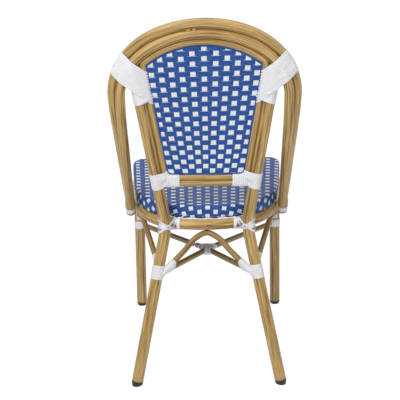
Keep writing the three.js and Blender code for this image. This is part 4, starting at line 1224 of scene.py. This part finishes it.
def build_front_brace_lashing(bm):
    """Five turns round the front leg, and three out along the cross rod and the side arch each."""
    leg_band, rod_band = (0.2450, 0.2660), (0.012, 0.023)
    wind(bm, [strand(front_leg_line, leg_radius)], *across_leg(front_leg_at, *leg_band), turns=5,
         facing=sideways, first=17.0)
    for line, first in ((cross_other[::-1], 19.0), (side_arch_line[::-1], 21.0)):
        rod = strand(line, brace_radius, lambda p: (p[:, 0] > 0.1) & (p[:, 1] < -0.1))
        wind(bm, [rod], *stretch(line[0], line[6] - line[0], *rod_band), turns=3, facing=below,
             first=first)


def build_arm_lashing(bm):
    """Three turns round both hoops just above their caps."""
    arm_band = (-0.0185, -0.0035)
    wind(bm, both_hoops, *stretch(hoop_end, arm, *arm_band), turns=3, facing=(-1, 0, 0), steps=56,
         first=23.0)


for lashing_name, build, cad_names in (
    ("top_lashing", build_top_lashing, ["top_wrap", "upright_wrap"]),
    ("corner_lashing", build_corner_lashing, ["low_joint_wrap", "bar_wrap"]),
    ("seat_lashing", build_seat_lashing, ["seat_joint_wrap_under", "seat_joint_wrap_over"]),
    ("rear_brace_lashing", build_rear_brace_lashing, ["rear_foot_wrap"]),
    ("front_brace_lashing", build_front_brace_lashing, ["front_leg_wrap"]),
    ("arm_lashing", build_arm_lashing, ["arm_wrap"]),
):
    make_pair(lashing_name, build, white_lashing, cad_names)

# The middle of the cross brace. The strip's ends are rolled up and bound in on top of the rods and
# in the angle below them. Three turns lie round both rods in front of the crossing, and four over
# the crossing and the lower roll.
roll_half = 0.0185
roll_radius = 0.0072
roll_place = (cross_centre[1] - 0.0060, 0.2722)
x = np.linspace(-roll_half, roll_half, 38)
roll = np.column_stack([x, np.full(38, roll_place[0]), np.full(38, roll_place[1]),
                        roll_radius * np.sqrt(1 - 0.7 * (x / roll_half) ** 2)])
low_roll_ends = np.array([(-0.008, 0.003, -0.0115), (0.008, 0.003, -0.0115)])
low_roll_radius = 0.0022
low_roll = strand(cross_centre + low_roll_ends, low_roll_radius)
front_band = np.array([(0, 0.0100, 0.0004), (0, 0.0200, 0.0010)])
crossing_half = 0.0080
rods = [strand(cross_line, brace_radius), strand(cross_other, brace_radius)]
front_rods = [rod[rod[:, 1] < cross_centre[1] - 0.004] for rod in rods]
bm = bmesh.new()
wind(bm, [roll], (roll[1, :3], sideways), (roll[-2, :3], sideways), turns=7, facing=below, steps=24,
     first=24.0)
wind(bm, [*front_rods, roll], *[(cross_centre - step, front) for step in front_band], turns=3,
     facing=below, steps=48, first=25.0)
wind(bm, [low_roll], (low_roll[0, :3], sideways), (low_roll[-1, :3], sideways), turns=3,
     facing=below, steps=24, first=26.0)
wind(bm, [*rods, low_roll], *stretch(cross_centre, sideways, -crossing_half, crossing_half),
     turns=4, facing=below, steps=48, first=27.0)
close_ends(bm)
make_piece("centre_lashing", bm, white_lashing, ["centre_wrap"])
